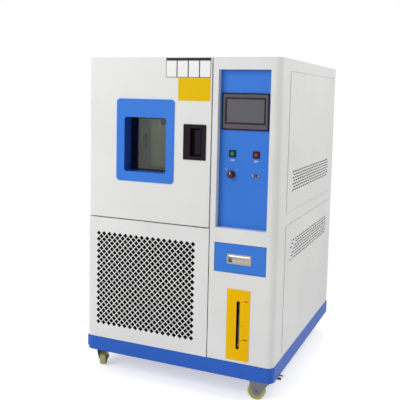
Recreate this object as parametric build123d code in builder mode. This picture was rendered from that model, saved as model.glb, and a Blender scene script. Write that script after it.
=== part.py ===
"""Floor-standing environmental test chamber on four swivel casters.

Lengths are in millimetres. The origin is on the floor, under the middle of the cabinet.
X runs from the left side to the right, Y from the front to the back, and Z up.
Places that the front or the left side sets are written as distances from those two faces.
"""

from build123d import *
from math import cos, radians, sin
import os

# Cabinet
CABINET_WIDTH = 900.0
CABINET_DEPTH = 1010.0
CABINET_HEIGHT = 1435.0
SHEET = 1.5
CORNER_RADIUS = 30.0
BEND_RADIUS = 3.0

# Where the seams run: the controls column on the right, the door seam above the middle
COLUMN_WIDTH = 294.0
SEAM_ABOVE_MIDDLE = 5.5

# Base plinth and floor
BASE_BOTTOM = 95.0
BASE_HEIGHT = 65.0
BASE_LIP = 2.0
BASE_WALL = 3.0
BEAM_WIDTH = 80.0
BEAM_DEPTH = 52.0
PAD_SIZE = 76.0
PAD_THICKNESS = 4.0

# Inner frame
POST = 25.0
TUBE_WALL = 2.0

# Door and its gaps
DOOR_THICKNESS = 55.0
DOOR_GAP = 5.0
PLUG_DEPTH = 75.0
PLUG_CLEARANCE = 9.0

# Test space, given by the walls round it
CAVITY_LEFT = 95.0
CAVITY_ABOVE_SEAM = 107.0
CAVITY_BELOW_TOP = 105.0
CAVITY_DEPTH = 433.0
DUCT_DEPTH = 90.0
INSULATION = 100.0
BULKHEAD_TO_COLUMN = 11.0
FRAME_THICKNESS = 2.0
DECK_THICKNESS = 2.0

# Window frame, given by the door's margins, and the opening in it, by the frame's face
BEZEL_FROM_LEFT = 151.05
BEZEL_FROM_RIGHT = 168.45
BEZEL_FROM_BOTTOM = 171.55
BEZEL_FROM_TOP = 178.95
BEZEL_RADIUS = 16.0
BEZEL_PROUD = 3.0
WINDOW_FROM_LEFT = 38.95
WINDOW_FROM_RIGHT = 38.05
WINDOW_FROM_BOTTOM = 42.5
WINDOW_FROM_TOP = 79.5
WINDOW_RADIUS = 11.0
WINDOW_WALL = 2.0
WINDOW_RECESS = 60.0
PANE_THICKNESS = 5.0
PANE_OVERLAP = 8.0
TUNNEL_WALL = 2.0

# Door seal
SEAL_WIDTH = 14.0
SEAL_FROM_MOUTH = 12.0
SEAL_RELIEF = 0.3

# Flush door handle
HANDLE_WIDTH = 104.0
HANDLE_HEIGHT = 150.0
HANDLE_FROM_EDGE = 72.4
HANDLE_PROUD = 3.0
HANDLE_WALL = 3.0
HANDLE_POCKET_WIDTH = 51.8
HANDLE_POCKET_SHIFT = 6.0
HANDLE_POCKET_HEIGHT = 119.0
HANDLE_POCKET_DEPTH = 17.0
HANDLE_BODY_DEPTH = 20.0
PADDLE_WIDTH = 22.0
PADDLE_HEIGHT = 101.0
PADDLE_THICKNESS = 6.0
PADDLE_BARREL = 6.0
PADDLE_PIN = 2.5
PADDLE_EDGE_GAP = 1.5

# Latch behind the handle
STAPLE_FROM_EDGE = 44.0
STAPLE_BAR = 8.0
STAPLE_HEIGHT = 40.0
STAPLE_REACH = 22.0
LATCH_CUP_WIDTH = 30.0
LATCH_CUP_HEIGHT = 56.0
LATCH_CUP_DEPTH = 30.0
BOLT_LENGTH = 28.0
BOLT_THICKNESS = 4.5
BOLT_HEIGHT = 24.0
BOLT_BACK_GAP = 1.0
BOLT_NOSE_GAP = 5.0
BOLT_CHAMFER = 1.2

# Lift-off hinges on the left side
HINGE_PIN = 4.0
HINGE_KNUCKLE = 7.5
HINGE_OFFSET = 9.0
HINGE_HEIGHT = 40.0
HINGE_LEAF = 2.5
HINGE_LEAF_WIDTH = 34.0
HINGE_FROM_ENDS = 100.0
HINGE_LIFT_GAP = 0.3

# Controls recess, given by the column's margins
RECESS_FROM_LEFT = 25.0
RECESS_FROM_RIGHT = 44.0
RECESS_ABOVE_SEAM = 5.0
RECESS_BELOW_TOP = 50.0
RECESS_DEPTH = 28.0
PANEL_OVERLAP = 10.0
PANEL_THICKNESS = 2.0

# Touch screen unit, given by the recess round it
SCREEN_UNIT_FROM_LEFT = 8.95
SCREEN_UNIT_FROM_RIGHT = 11.55
SCREEN_UNIT_HEIGHT = 152.0
SCREEN_UNIT_DROP = 171.0
SCREEN_UNIT_PROUD = 6.0
SCREEN_UNIT_BODY = 36.0
SCREEN_UNIT_CHAMFER = 1.5
SCREEN_SIDE_RIM = 18.75
SCREEN_END_RIM = 26.0
SCREEN_RAISE = 3.0
SCREEN_SINK = 2.0
SCREEN_THICKNESS = 2.0

# Push buttons, selector and data socket; drops are from the top of the recess
BUTTON_DROP = 346.0
START_FROM_LEFT = 59.0
STOP_FROM_RIGHT = 62.0
BEZEL_SQUARE = 30.0
BEZEL_PLATE = 3.0
BARREL_RADIUS = 11.0
BARREL_LENGTH = 26.0
BUTTON_RADIUS = 8.5
BUTTON_LENGTH = 14.0
BUTTON_PROUD = 3.5
BUTTON_CHAMFER = 1.0
KNOB_FROM_LEFT = 56.0
KNOB_DROP = 433.0
KNOB_RADIUS = 16.0
KNOB_GRIP = 12.5
KNOB_RING = 2.0
KNOB_HEIGHT = 18.0
KNOB_SKIRT = 6.0
KNOB_SHAFT = 3.0
KNOB_SHAFT_LENGTH = 22.0
PORT_FROM_RIGHT = 61.0
PORT_DROP = 432.0
PORT_FLANGE = (31.0, 12.5)
PORT_SHELL = (17.0, 8.5)
PORT_SHELL_ANGLE = 80
PORT_SHELL_WALL = 1.0
PORT_PROUD = 6.0

# Drawer, given by the column's margins and the door seam
DRAWER_FROM_LEFT = 23.5
DRAWER_FROM_RIGHT = 41.0
DRAWER_BELOW_SEAM = 56.5
DRAWER_HEIGHT = 124.5
DRAWER_GAP = 1.8
DRAWER_FRONT_DEPTH = 12.0
TRAY_DEPTH = 250.0
TRAY_FLOOR_GAP = 6.0
TRAY_HEADROOM = 22.5
TRAY_SIDE_GAP = 12.0
TRAVEL_STOP = 20.0
RUNNER_THICKNESS = 3.0
PULL_FROM_LEFT = 112.0
PULL_FROM_BOTTOM = 60.5
PULL_WIDTH = 107.0
PULL_HEIGHT = 43.0
PULL_PROUD = 2.0
PULL_DEPTH = 20.0
PULL_RIM = 5.0

# Water level gauge and tank
GAUGE_FROM_COLUMN = 138.0
GAUGE_ABOVE_BASE = 11.45
GAUGE_BELOW_DRAWER = 67.05
GAUGE_WIDTH = 102.0
GAUGE_PROUD = 2.0
GAUGE_SLOT_WIDTH = 15.0
GAUGE_SLOT_FROM_ENDS = 47.75
GAUGE_SLOT_CLEARANCE = 2.0
TUBE_RADIUS = 6.0
TUBE_BORE = 5.0
TUBE_BACK = 12.0
LUG_HEIGHT = 14.0
LUG_INSIDE_SLOT = 9.0
LUG_CORE = 4.0
FLOAT_RADIUS = 4.7
FLOAT_HEIGHT = 10.0
TANK_FROM_COLUMN = 43.0
TANK_FROM_RIGHT = 61.0
TANK_DEPTH = 260.0
TANK_BACK = 30.0
TANK_WALL = 3.0
TANK_MARGIN = 24.0

# Front intake grille
GRILLE_PITCH = 55.2
GRILLE_HOLE = 26.0
GRILLE_MARGIN = 60.0
GRILLE_SHIFT = (-5.2, -1.5)
LOWER_SEAM = 2.0

# Side access panels
ACCESS_FRONT = 127.0
ACCESS_FROM_BACK = 48.0
ACCESS_GAP = 2.0
ACCESS_LIP = 14.0
UPPER_ACCESS_ABOVE_SEAM = 65.0
UPPER_ACCESS_BELOW_TOP = 50.0
LOWER_ACCESS_ABOVE_BASE = 20.0
LOWER_ACCESS_ABOVE_SEAM = 14.0
VENT_FROM_FRONT = 83.0
VENT_FROM_BACK = 72.0
VENT_ROWS = 7
VENT_PITCH = 13.4
VENT_SLIT = 5.5
UPPER_VENT_RISE = 131.0
LOWER_VENT_DROP = 123.5

# Rear panel
REAR_SLOT_FROM_SIDE = 190.0
REAR_SLOT_BETWEEN = 80.0
REAR_SLOT_HEIGHT = 8.0
REAR_SLOT_ROWS = 9
REAR_SLOT_PITCH = 24.0
REAR_SLOT_RISE = 260.0
GLAND_FROM_RIGHT = 160.0
GLAND_RISE = 100.0
GLAND_BORE = 9.0
GLAND_THREAD = 12.5
GLAND_NUT = 16.0
GLAND_REACH = 6.0

# Cable port through the left wall
PORT_BORE = 25.0
PORT_SLEEVE = 27.0
PORT_FLANGE_RADIUS = 31.0
PORT_FLANGE_THICKNESS = 3.0
PORT_BACK = 372.0
PORT_BELOW_MIDDLE = 32.0

# Air circulation
FAN_RADIUS = 100.0
FAN_EYE = 62.0
FAN_WIDTH = 50.0
FAN_BLADES = 12
FAN_SHAFT = 8.0
FAN_GAP = 8.0
MOTOR_RADIUS = 62.0
MOTOR_LENGTH = 115.0
MOTOR_FOOT = 8.0
HEATER_RADIUS = 6.0
HEATER_ROWS = 3
HEATER_PITCH = 20.0
HEATER_DROP = 44.0
EVAPORATOR_HEIGHT = 80.0
EVAPORATOR_DEPTH = 60.0
FIN_PITCH = 33.0
FIN_DEPTH = 12.0
BAFFLE_SLOT_FROM_ENDS = 40.0
BAFFLE_SLOT_FROM_SIDES = 40.0
BAFFLE_SLOT_HEIGHT = 10.0
BAFFLE_SLOT_PITCH = 20.0
LOWER_SHELF_RISE = 38.0
UPPER_SHELF_DROP = 130.0
SHELF_THICKNESS = 2.0
SHELF_LEDGE = 9.0
SHELF_PLUG_GAP = 14.5
SHELF_SLOT_PITCH = 38.0
SHELF_SLOT_WIDTH = 16.0
SHELF_SLOT_FROM_SIDES = 40.0

# Refrigeration
COMPRESSOR_FROM_LEFT = 220.0
COMPRESSOR_FROM_BACK = 270.0
COMPRESSOR_RADIUS = 80.0
COMPRESSOR_HEIGHT = 240.0
COMPRESSOR_FOOT = 6.0
CONDENSER_FROM_LEFT = 110.0
CONDENSER_FROM_BULKHEAD = 105.0
CONDENSER_ABOVE_BASE = 60.0
CONDENSER_BELOW_DECK = 140.0
CONDENSER_FRONT = 130.0
CONDENSER_DEPTH = 66.0
BLOWER_RADIUS = 140.0
BLOWER_WIDTH = 36.0
BLOWER_HUB = 38.0
BLOWER_BLADES = 5
BLOWER_BLADE_ANGLE = 30
BLOWER_GAP = 6.0
BLOWER_MOTOR = 70.0
BLOWER_SHAFT_ENTRY = 30.0

# Control gear in the right bay
GEAR_PLATE = 2.0
GEAR_PLATE_FRONT = 140.0
GEAR_PLATE_LENGTH = 450.0
GEAR_PLATE_BELOW = 30.0
GEAR_PLATE_ABOVE = 20.0
GEAR_LENGTH = 110.0
GEAR_COLUMNS = 3
# Height and depth of each row
GEAR_ROWS = ((110.0, 60.0), (90.0, 75.0), (140.0, 55.0))

# Drain valve
VALVE_FROM_RIGHT = 20.0
VALVE_FROM_FRONT = 118.0
VALVE_HEIGHT = 86.0
VALVE_PIPE = 6.0
VALVE_BODY = 10.0
VALVE_REACH = 34.0
VALVE_BORE = 4.0
LEVER_LENGTH = 20.0
LEVER_WIDTH = 12.0
LEVER_THICKNESS = 6.0

# Casters
CASTER_INSET = (58.0, 48.0)
WHEEL_RADIUS = 37.5
WHEEL_WIDTH = 28.0
WHEEL_DISH = 3.0
TYRE_THICKNESS = 10.0
HUB_RADIUS = 12.0
CASTER_TRAIL = 22.0
AXLE_RADIUS = 4.0
LEG_GAP = 2.0
LEG_THICKNESS = 3.0
LEG_END = 10.0
RACE_RADIUS = 30.0
RACE_THICKNESS = 9.0
KINGPIN_RADIUS = 6.0
# Short name, side of the cabinet, end of the cabinet, yaw of the trail
CASTER_SPOTS = (("fl", -1, -1, 112.8), ("fr", 1, -1, 180.0), ("rl", -1, 1, 200.0), ("rr", 1, 1, 150.0))

# Clearances
RUNNING_FIT = 0.05
LOOSE_FIT = 0.5
SEAT_GAP = 0.3

# Faces and planes that follow from the sizes above
LEFT = -CABINET_WIDTH / 2
RIGHT = CABINET_WIDTH / 2
FRONT = -CABINET_DEPTH / 2
BACK = CABINET_DEPTH / 2
BASE_TOP = BASE_BOTTOM + BASE_HEIGHT
TOP_INSIDE = CABINET_HEIGHT - SHEET
COLUMN_LEFT = CABINET_WIDTH - COLUMN_WIDTH
FRAME_FACE = FRONT + DOOR_THICKNESS + DOOR_GAP
MOUTH = FRAME_FACE + FRAME_THICKNESS
LINER_BACK = MOUTH + CAVITY_DEPTH + DUCT_DEPTH
FOAM_BACK = LINER_BACK + SHEET + INSULATION
RECESS_BACK = FRONT + RECESS_DEPTH

# Door and test space
DOOR_WIDTH = COLUMN_LEFT - DOOR_GAP
DOOR_BOTTOM = CABINET_HEIGHT / 2 + SEAM_ABOVE_MIDDLE
DOOR_HEIGHT = CABINET_HEIGHT - DOOR_BOTTOM
DOOR_BACK = FRONT + DOOR_THICKNESS
DECK_TOP = DOOR_BOTTOM - DOOR_GAP + DECK_THICKNESS
LOWER_TOP = DOOR_BOTTOM - DOOR_GAP
BULKHEAD = LEFT + COLUMN_LEFT - BULKHEAD_TO_COLUMN
CAVITY_X = (LEFT + CAVITY_LEFT, BULKHEAD - INSULATION)
CAVITY_Z = (DOOR_BOTTOM + CAVITY_ABOVE_SEAM, CABINET_HEIGHT - CAVITY_BELOW_TOP)
CAVITY_WIDTH = CAVITY_X[1] - CAVITY_X[0]
CAVITY_HEIGHT = CAVITY_Z[1] - CAVITY_Z[0]
CAVITY_CENTRE = (CAVITY_LEFT + CAVITY_WIDTH / 2, sum(CAVITY_Z) / 2)
SHELF_HEIGHTS = (CAVITY_Z[0] + LOWER_SHELF_RISE, CAVITY_Z[1] - UPPER_SHELF_DROP)

# Window, handle and latch
BEZEL_WIDTH = DOOR_WIDTH - BEZEL_FROM_LEFT - BEZEL_FROM_RIGHT
BEZEL_HEIGHT = DOOR_HEIGHT - BEZEL_FROM_BOTTOM - BEZEL_FROM_TOP
BEZEL_CENTRE = (BEZEL_FROM_LEFT + BEZEL_WIDTH / 2, DOOR_BOTTOM + BEZEL_FROM_BOTTOM + BEZEL_HEIGHT / 2)
WINDOW_WIDTH = BEZEL_WIDTH - WINDOW_FROM_LEFT - WINDOW_FROM_RIGHT
WINDOW_HEIGHT = BEZEL_HEIGHT - WINDOW_FROM_BOTTOM - WINDOW_FROM_TOP
WINDOW_CENTRE = (
    BEZEL_CENTRE[0] + (WINDOW_FROM_LEFT - WINDOW_FROM_RIGHT) / 2,
    BEZEL_CENTRE[1] + (WINDOW_FROM_BOTTOM - WINDOW_FROM_TOP) / 2,
)
HANDLE_CENTRE = (DOOR_WIDTH - HANDLE_FROM_EDGE, CAVITY_CENTRE[1])
POCKET_CENTRE = (HANDLE_CENTRE[0] + HANDLE_POCKET_SHIFT, HANDLE_CENTRE[1])
STAPLE_CENTRE = (DOOR_WIDTH - STAPLE_FROM_EDGE, HANDLE_CENTRE[1])

# Controls
RECESS_LEFT = COLUMN_LEFT + RECESS_FROM_LEFT
RECESS_RIGHT = CABINET_WIDTH - RECESS_FROM_RIGHT
RECESS_TOP = CABINET_HEIGHT - RECESS_BELOW_TOP
RECESS_WIDTH = RECESS_RIGHT - RECESS_LEFT
RECESS_HEIGHT = RECESS_TOP - DOOR_BOTTOM - RECESS_ABOVE_SEAM
RECESS_CENTRE = (RECESS_LEFT + RECESS_WIDTH / 2, RECESS_TOP - RECESS_HEIGHT / 2)
SCREEN_UNIT_WIDTH = RECESS_WIDTH - SCREEN_UNIT_FROM_LEFT - SCREEN_UNIT_FROM_RIGHT
SCREEN_UNIT_CENTRE = (
    RECESS_LEFT + SCREEN_UNIT_FROM_LEFT + SCREEN_UNIT_WIDTH / 2,
    RECESS_TOP - SCREEN_UNIT_DROP,
)
SCREEN_WIDTH = SCREEN_UNIT_WIDTH - 2 * SCREEN_SIDE_RIM
SCREEN_HEIGHT = SCREEN_UNIT_HEIGHT - 2 * SCREEN_END_RIM
SCREEN_CENTRE = (SCREEN_UNIT_CENTRE[0], SCREEN_UNIT_CENTRE[1] + SCREEN_RAISE)
START_CENTRE = (RECESS_LEFT + START_FROM_LEFT, RECESS_TOP - BUTTON_DROP)
STOP_CENTRE = (RECESS_RIGHT - STOP_FROM_RIGHT, RECESS_TOP - BUTTON_DROP)
KNOB_CENTRE = (RECESS_LEFT + KNOB_FROM_LEFT, RECESS_TOP - KNOB_DROP)
PORT_CENTRE = (RECESS_RIGHT - PORT_FROM_RIGHT, RECESS_TOP - PORT_DROP)

# Drawer and gauge
DRAWER_LEFT = COLUMN_LEFT + DRAWER_FROM_LEFT
DRAWER_WIDTH = COLUMN_WIDTH - DRAWER_FROM_LEFT - DRAWER_FROM_RIGHT
DRAWER_BOTTOM = DOOR_BOTTOM - DRAWER_BELOW_SEAM - DRAWER_HEIGHT
DRAWER_CENTRE = (DRAWER_LEFT + DRAWER_WIDTH / 2, DRAWER_BOTTOM + DRAWER_HEIGHT / 2)
TRAY_HEIGHT = DRAWER_HEIGHT - TRAY_FLOOR_GAP - TRAY_HEADROOM
PULL_CENTRE = (DRAWER_LEFT + PULL_FROM_LEFT, DRAWER_BOTTOM + PULL_FROM_BOTTOM)
GAUGE_HEIGHT = DRAWER_BOTTOM - GAUGE_BELOW_DRAWER - BASE_TOP - GAUGE_ABOVE_BASE
GAUGE_CENTRE = (COLUMN_LEFT + GAUGE_FROM_COLUMN, BASE_TOP + GAUGE_ABOVE_BASE + GAUGE_HEIGHT / 2)
GAUGE_SLOT_HEIGHT = GAUGE_HEIGHT - 2 * GAUGE_SLOT_FROM_ENDS

# Openings in the walls
upper_access_z = (DOOR_BOTTOM + UPPER_ACCESS_ABOVE_SEAM, CABINET_HEIGHT - UPPER_ACCESS_BELOW_TOP)
lower_access_z = (BASE_TOP + LOWER_ACCESS_ABOVE_BASE, DOOR_BOTTOM + LOWER_ACCESS_ABOVE_SEAM)
ACCESS_Y = (FRONT + ACCESS_FRONT, BACK - ACCESS_FROM_BACK)
# Lower edge, upper edge and middle of the vent rows of each service cover
ACCESS_COVERS = (
    (*upper_access_z, upper_access_z[0] + UPPER_VENT_RISE),
    (*lower_access_z, lower_access_z[1] - LOWER_VENT_DROP),
)
REAR_SLOT_WIDTH = CABINET_WIDTH / 2 - REAR_SLOT_FROM_SIDE - REAR_SLOT_BETWEEN / 2
GLAND_CENTRE = (CABINET_WIDTH - GLAND_FROM_RIGHT, BASE_TOP + GLAND_RISE)
PORT_HEIGHT = CAVITY_CENTRE[1] - PORT_BELOW_MIDDLE

# Refrigeration and drain
condenser_x = (LEFT + CONDENSER_FROM_LEFT, BULKHEAD - CONDENSER_FROM_BULKHEAD)
condenser_z = (BASE_TOP + CONDENSER_ABOVE_BASE, DECK_TOP - CONDENSER_BELOW_DECK)
CONDENSER_CENTRE = (sum(condenser_x) / 2 - LEFT, sum(condenser_z) / 2)
COMPRESSOR_PLACE = (LEFT + COMPRESSOR_FROM_LEFT, BACK - COMPRESSOR_FROM_BACK)
VALVE = (RIGHT - VALVE_FROM_RIGHT, FRONT + VALVE_FROM_FRONT)


def at(place, plane_depth):
    """A vertical plane facing the front, centred on a place given from the left side and the floor."""
    return Plane((LEFT + place[0], plane_depth, place[1]), x_dir=(1, 0, 0), z_dir=(0, -1, 0))


def box(x, y, z, mode=Mode.ADD):
    """A block between two values on each axis."""
    with Locations(((x[0] + x[1]) / 2, (y[0] + y[1]) / 2, (z[0] + z[1]) / 2)):
        Box(x[1] - x[0], y[1] - y[0], z[1] - z[0], mode=mode)


def panel_cut(place, width, height, depth, radius=0.0):
    """Cut a window, rounded where a radius is given, to both sides of the front face."""
    with BuildSketch(at(place, FRONT)) as cutter:
        if radius:
            RectangleRounded(width, height, radius)
        else:
            Rectangle(width, height)
    extrude(cutter.sketch, amount=depth, both=True, mode=Mode.SUBTRACT)


# Base plinth: a folded tray with two caster beams welded under its floor
with BuildPart() as base_frame:
    with BuildSketch(Plane.XY.offset(BASE_BOTTOM)) as plinth:
        Rectangle(CABINET_WIDTH + 2 * BASE_LIP, CABINET_DEPTH + 2 * BASE_LIP)
        fillet(plinth.vertices().group_by(Axis.Y)[0], CORNER_RADIUS + BASE_LIP)
    extrude(amount=BASE_HEIGHT)
    with BuildSketch(Plane.XY.offset(BASE_BOTTOM)):
        offset(plinth.sketch, amount=-BASE_WALL)
    extrude(amount=BASE_HEIGHT - BASE_WALL, mode=Mode.SUBTRACT)
    beam_top = BASE_TOP - BASE_WALL
    beam_side = CABINET_WIDTH / 2 + BASE_LIP - BASE_WALL
    for side in (-1, 1):
        middle = side * (CABINET_DEPTH / 2 - CASTER_INSET[1])
        beam_y = (middle - BEAM_WIDTH / 2, middle + BEAM_WIDTH / 2)
        box((-beam_side, beam_side), beam_y, (beam_top - BEAM_DEPTH, beam_top - BEAM_DEPTH + BASE_WALL))
        for web in (beam_y[0], beam_y[1] - BASE_WALL):
            box((-beam_side, beam_side), (web, web + BASE_WALL), (beam_top - BEAM_DEPTH, beam_top))
    pad_top = beam_top - BEAM_DEPTH
    spacing_x = CABINET_WIDTH - 2 * CASTER_INSET[0]
    spacing_y = CABINET_DEPTH - 2 * CASTER_INSET[1]
    with BuildSketch(Plane.XY.offset(pad_top - PAD_THICKNESS)):
        with GridLocations(spacing_x, spacing_y, 2, 2):
            Rectangle(PAD_SIZE, PAD_SIZE)
    extrude(amount=PAD_THICKNESS)
    with Locations(Plane.XY.offset(pad_top)):
        with GridLocations(spacing_x, spacing_y, 2, 2):
            Cylinder(KINGPIN_RADIUS + RUNNING_FIT, 4 * PAD_THICKNESS, mode=Mode.SUBTRACT)
base_frame.part.label = "base_frame"
PAD_BOTTOM = pad_top - PAD_THICKNESS

# Inner frame: square tube posts and rails, the deck under the insulated box and its bulkheads
post_lines = (LEFT + SHEET, BULKHEAD - POST, RIGHT - SHEET - POST)
post_rows = (FRAME_FACE + FRAME_THICKNESS, BACK - SHEET - POST)
RAIL_Z = (DECK_TOP - DECK_THICKNESS - POST, DECK_TOP - DECK_THICKNESS)
with BuildPart() as inner_frame:
    for post_x in post_lines:
        for post_y in post_rows:
            tall = post_x == post_lines[2] or post_y == post_rows[1]
            height = (TOP_INSIDE if tall else RAIL_Z[1]) - BASE_TOP
            with BuildSketch(Plane.XY.offset(BASE_TOP)):
                with Locations((post_x + POST / 2, post_y + POST / 2)):
                    Rectangle(POST, POST)
                    Rectangle(POST - 2 * TUBE_WALL, POST - 2 * TUBE_WALL, mode=Mode.SUBTRACT)
            extrude(amount=height)
    for rail_y in post_rows:
        box((post_lines[0] + POST, post_lines[2]), (rail_y, rail_y + POST), RAIL_Z)
    for rail_x in post_lines[:2]:
        box((rail_x, rail_x + POST), (post_rows[0] + POST, post_rows[1]), RAIL_Z)
    top_rail_y = (post_rows[0] + POST, post_rows[1])
    box((post_lines[2], post_lines[2] + POST), top_rail_y, (TOP_INSIDE - POST, TOP_INSIDE))
    box((LEFT + SHEET, BULKHEAD), (FRAME_FACE, BACK - SHEET), (RAIL_Z[1], DECK_TOP))
    box((BULKHEAD, BULKHEAD + SHEET), (MOUTH, FOAM_BACK), (RAIL_Z[1], TOP_INSIDE))
    box((LEFT + SHEET, BULKHEAD + SHEET), (FOAM_BACK, FOAM_BACK + SHEET), (DECK_TOP, TOP_INSIDE))
    with Locations(at(CAVITY_CENTRE, FOAM_BACK)):
        Cylinder(2 * FAN_SHAFT, 4 * SHEET, mode=Mode.SUBTRACT)
inner_frame.part.label = "inner_frame"

# Right column and side wall: one sheet bent round the front corner, with its punched openings
gauge_clearance = 2 * GAUGE_SLOT_CLEARANCE
with BuildPart() as column_shell:
    with BuildSketch(Plane.XY.offset(BASE_TOP)):
        with BuildLine():
            FilletPolyline(
                (LEFT + COLUMN_LEFT, MOUTH),
                (LEFT + COLUMN_LEFT, FRONT),
                (RIGHT, FRONT),
                (RIGHT, BACK),
                radius=[BEND_RADIUS, CORNER_RADIUS],
            )
            offset(amount=SHEET, side=Side.LEFT)
        make_face()
    extrude(amount=TOP_INSIDE - BASE_TOP)
    with BuildSketch(at(RECESS_CENTRE, FRONT)) as recess_flange:
        Rectangle(RECESS_WIDTH + 2 * SHEET, RECESS_HEIGHT + 2 * SHEET)
    extrude(recess_flange.sketch, amount=-RECESS_DEPTH)
    panel_cut(RECESS_CENTRE, RECESS_WIDTH, RECESS_HEIGHT, RECESS_DEPTH)
    panel_cut(DRAWER_CENTRE, DRAWER_WIDTH, DRAWER_HEIGHT, DRAWER_FRONT_DEPTH)
    slot_cut = (GAUGE_SLOT_WIDTH + gauge_clearance, GAUGE_SLOT_HEIGHT + gauge_clearance)
    panel_cut(GAUGE_CENTRE, *slot_cut, DRAWER_FRONT_DEPTH)
    for bottom, top, _ in ACCESS_COVERS:
        lip_y = (ACCESS_Y[0] - ACCESS_LIP, ACCESS_Y[1] + ACCESS_LIP)
        lip_z = (bottom - ACCESS_LIP, top + ACCESS_LIP)
        box((RIGHT - 2 * SHEET, RIGHT - SHEET), lip_y, lip_z)
        window_y = (lip_y[0] + 2 * ACCESS_LIP, lip_y[1] - 2 * ACCESS_LIP)
        window_z = (lip_z[0] + 2 * ACCESS_LIP, lip_z[1] - 2 * ACCESS_LIP)
        box((RIGHT - 2 * SHEET, RIGHT - SHEET), window_y, window_z, mode=Mode.SUBTRACT)
        box((RIGHT - SHEET, RIGHT), ACCESS_Y, (bottom, top), mode=Mode.SUBTRACT)
column_shell.part.label = "column_shell"


# Flush service covers with rows of punched vent slits
cover_length = ACCESS_Y[1] - ACCESS_Y[0]
vent_y = (ACCESS_Y[0] + VENT_FROM_FRONT, ACCESS_Y[1] - VENT_FROM_BACK)
with BuildPart() as side_access_panels:
    for bottom, top, vent_z in ACCESS_COVERS:
        cover_middle = (sum(ACCESS_Y) / 2, (bottom + top) / 2)
        with BuildSketch(Plane((RIGHT, *cover_middle), x_dir=(0, 1, 0), z_dir=(1, 0, 0))):
            Rectangle(cover_length - 2 * ACCESS_GAP, top - bottom - 2 * ACCESS_GAP)
            with Locations((sum(vent_y) / 2 - cover_middle[0], vent_z - cover_middle[1])):
                with GridLocations(1, VENT_PITCH, 1, VENT_ROWS):
                    Rectangle(vent_y[1] - vent_y[0], VENT_SLIT, mode=Mode.SUBTRACT)
        extrude(amount=-SHEET)
side_access_panels.part.label = "side_access_panels"

# Left wall, with the hole for the cable port sleeve
port_plane = Plane((LEFT, FRONT + PORT_BACK, PORT_HEIGHT), x_dir=(0, -1, 0), z_dir=(-1, 0, 0))
with BuildPart() as left_side_panel:
    box((LEFT, LEFT + SHEET), (FRAME_FACE, BACK), (BASE_TOP, TOP_INSIDE))
    with Locations(port_plane):
        Cylinder(PORT_SLEEVE + SEAT_GAP, 4 * SHEET, mode=Mode.SUBTRACT)
left_side_panel.part.label = "left_side_panel"

# Top cover: one sheet, notched behind the door
with BuildPart() as top_cover:
    with BuildSketch(Plane.XY.offset(TOP_INSIDE)):
        cover_outline = Rectangle(CABINET_WIDTH, CABINET_DEPTH)
        fillet(cover_outline.vertices().sort_by(Axis.Y)[:2].sort_by(Axis.X)[-1], CORNER_RADIUS)
        with Locations((LEFT + COLUMN_LEFT / 2, (FRONT + FRAME_FACE) / 2)):
            Rectangle(COLUMN_LEFT, FRAME_FACE - FRONT, mode=Mode.SUBTRACT)
    extrude(amount=SHEET)
top_cover.part.label = "top_cover"

# Rear panel with warm-air slots and the hole for the supply gland
with BuildPart() as rear_panel:
    rear_middle = (CABINET_WIDTH / 2, (BASE_TOP + TOP_INSIDE) / 2)
    with BuildSketch(at(rear_middle, BACK)):
        Rectangle(CABINET_WIDTH - 2 * SHEET, TOP_INSIDE - BASE_TOP)
        with Locations((0, BASE_TOP + REAR_SLOT_RISE - rear_middle[1])):
            with GridLocations(REAR_SLOT_WIDTH + REAR_SLOT_BETWEEN, REAR_SLOT_PITCH, 2, REAR_SLOT_ROWS):
                Rectangle(REAR_SLOT_WIDTH, REAR_SLOT_HEIGHT, mode=Mode.SUBTRACT)
        with Locations((GLAND_CENTRE[0] - rear_middle[0], GLAND_CENTRE[1] - rear_middle[1])):
            Circle(GLAND_THREAD, mode=Mode.SUBTRACT)
    extrude(amount=SHEET)
rear_panel.part.label = "rear_panel"

# Lower front panel: perforated intake, bent round the left corner, with a top flange
lower_panel = (COLUMN_LEFT - LOWER_SEAM, LOWER_TOP - BASE_TOP)
grille_centre = (lower_panel[0] / 2 + GRILLE_SHIFT[0], BASE_TOP + lower_panel[1] / 2 + GRILLE_SHIFT[1])
grille_columns, grille_rows = (int((side - 2 * GRILLE_MARGIN) / GRILLE_PITCH) + 1 for side in lower_panel)
with BuildPart() as front_grille_panel:
    with BuildSketch(Plane.XY.offset(BASE_TOP)):
        with BuildLine():
            FilletPolyline(
                (LEFT, FRAME_FACE - SEAT_GAP),
                (LEFT, FRONT),
                (LEFT + COLUMN_LEFT - LOWER_SEAM, FRONT),
                radius=CORNER_RADIUS,
            )
            offset(amount=SHEET, side=Side.LEFT)
        make_face()
    extrude(amount=LOWER_TOP - BASE_TOP)
    with BuildSketch(Plane.XY.offset(LOWER_TOP - SHEET)):
        with Locations((LEFT + SHEET, FRONT + SHEET)):
            flange = Rectangle(
                COLUMN_LEFT - LOWER_SEAM - SHEET,
                FRAME_FACE - SEAT_GAP - FRONT - SHEET,
                align=(Align.MIN, Align.MIN),
            )
        fillet(flange.vertices().sort_by(Axis.Y)[:2].sort_by(Axis.X)[0], CORNER_RADIUS - SHEET)
    extrude(amount=SHEET)
    with BuildSketch(at(grille_centre, FRONT + SHEET)) as diamonds:
        for columns, rows in ((grille_columns, grille_rows), (grille_columns - 1, grille_rows - 1)):
            with GridLocations(GRILLE_PITCH, GRILLE_PITCH, columns, rows):
                Rectangle(GRILLE_HOLE, GRILLE_HOLE, rotation=45)
    extrude(diamonds.sketch, amount=SHEET, mode=Mode.SUBTRACT)
front_grille_panel.part.label = "front_grille_panel"

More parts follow.
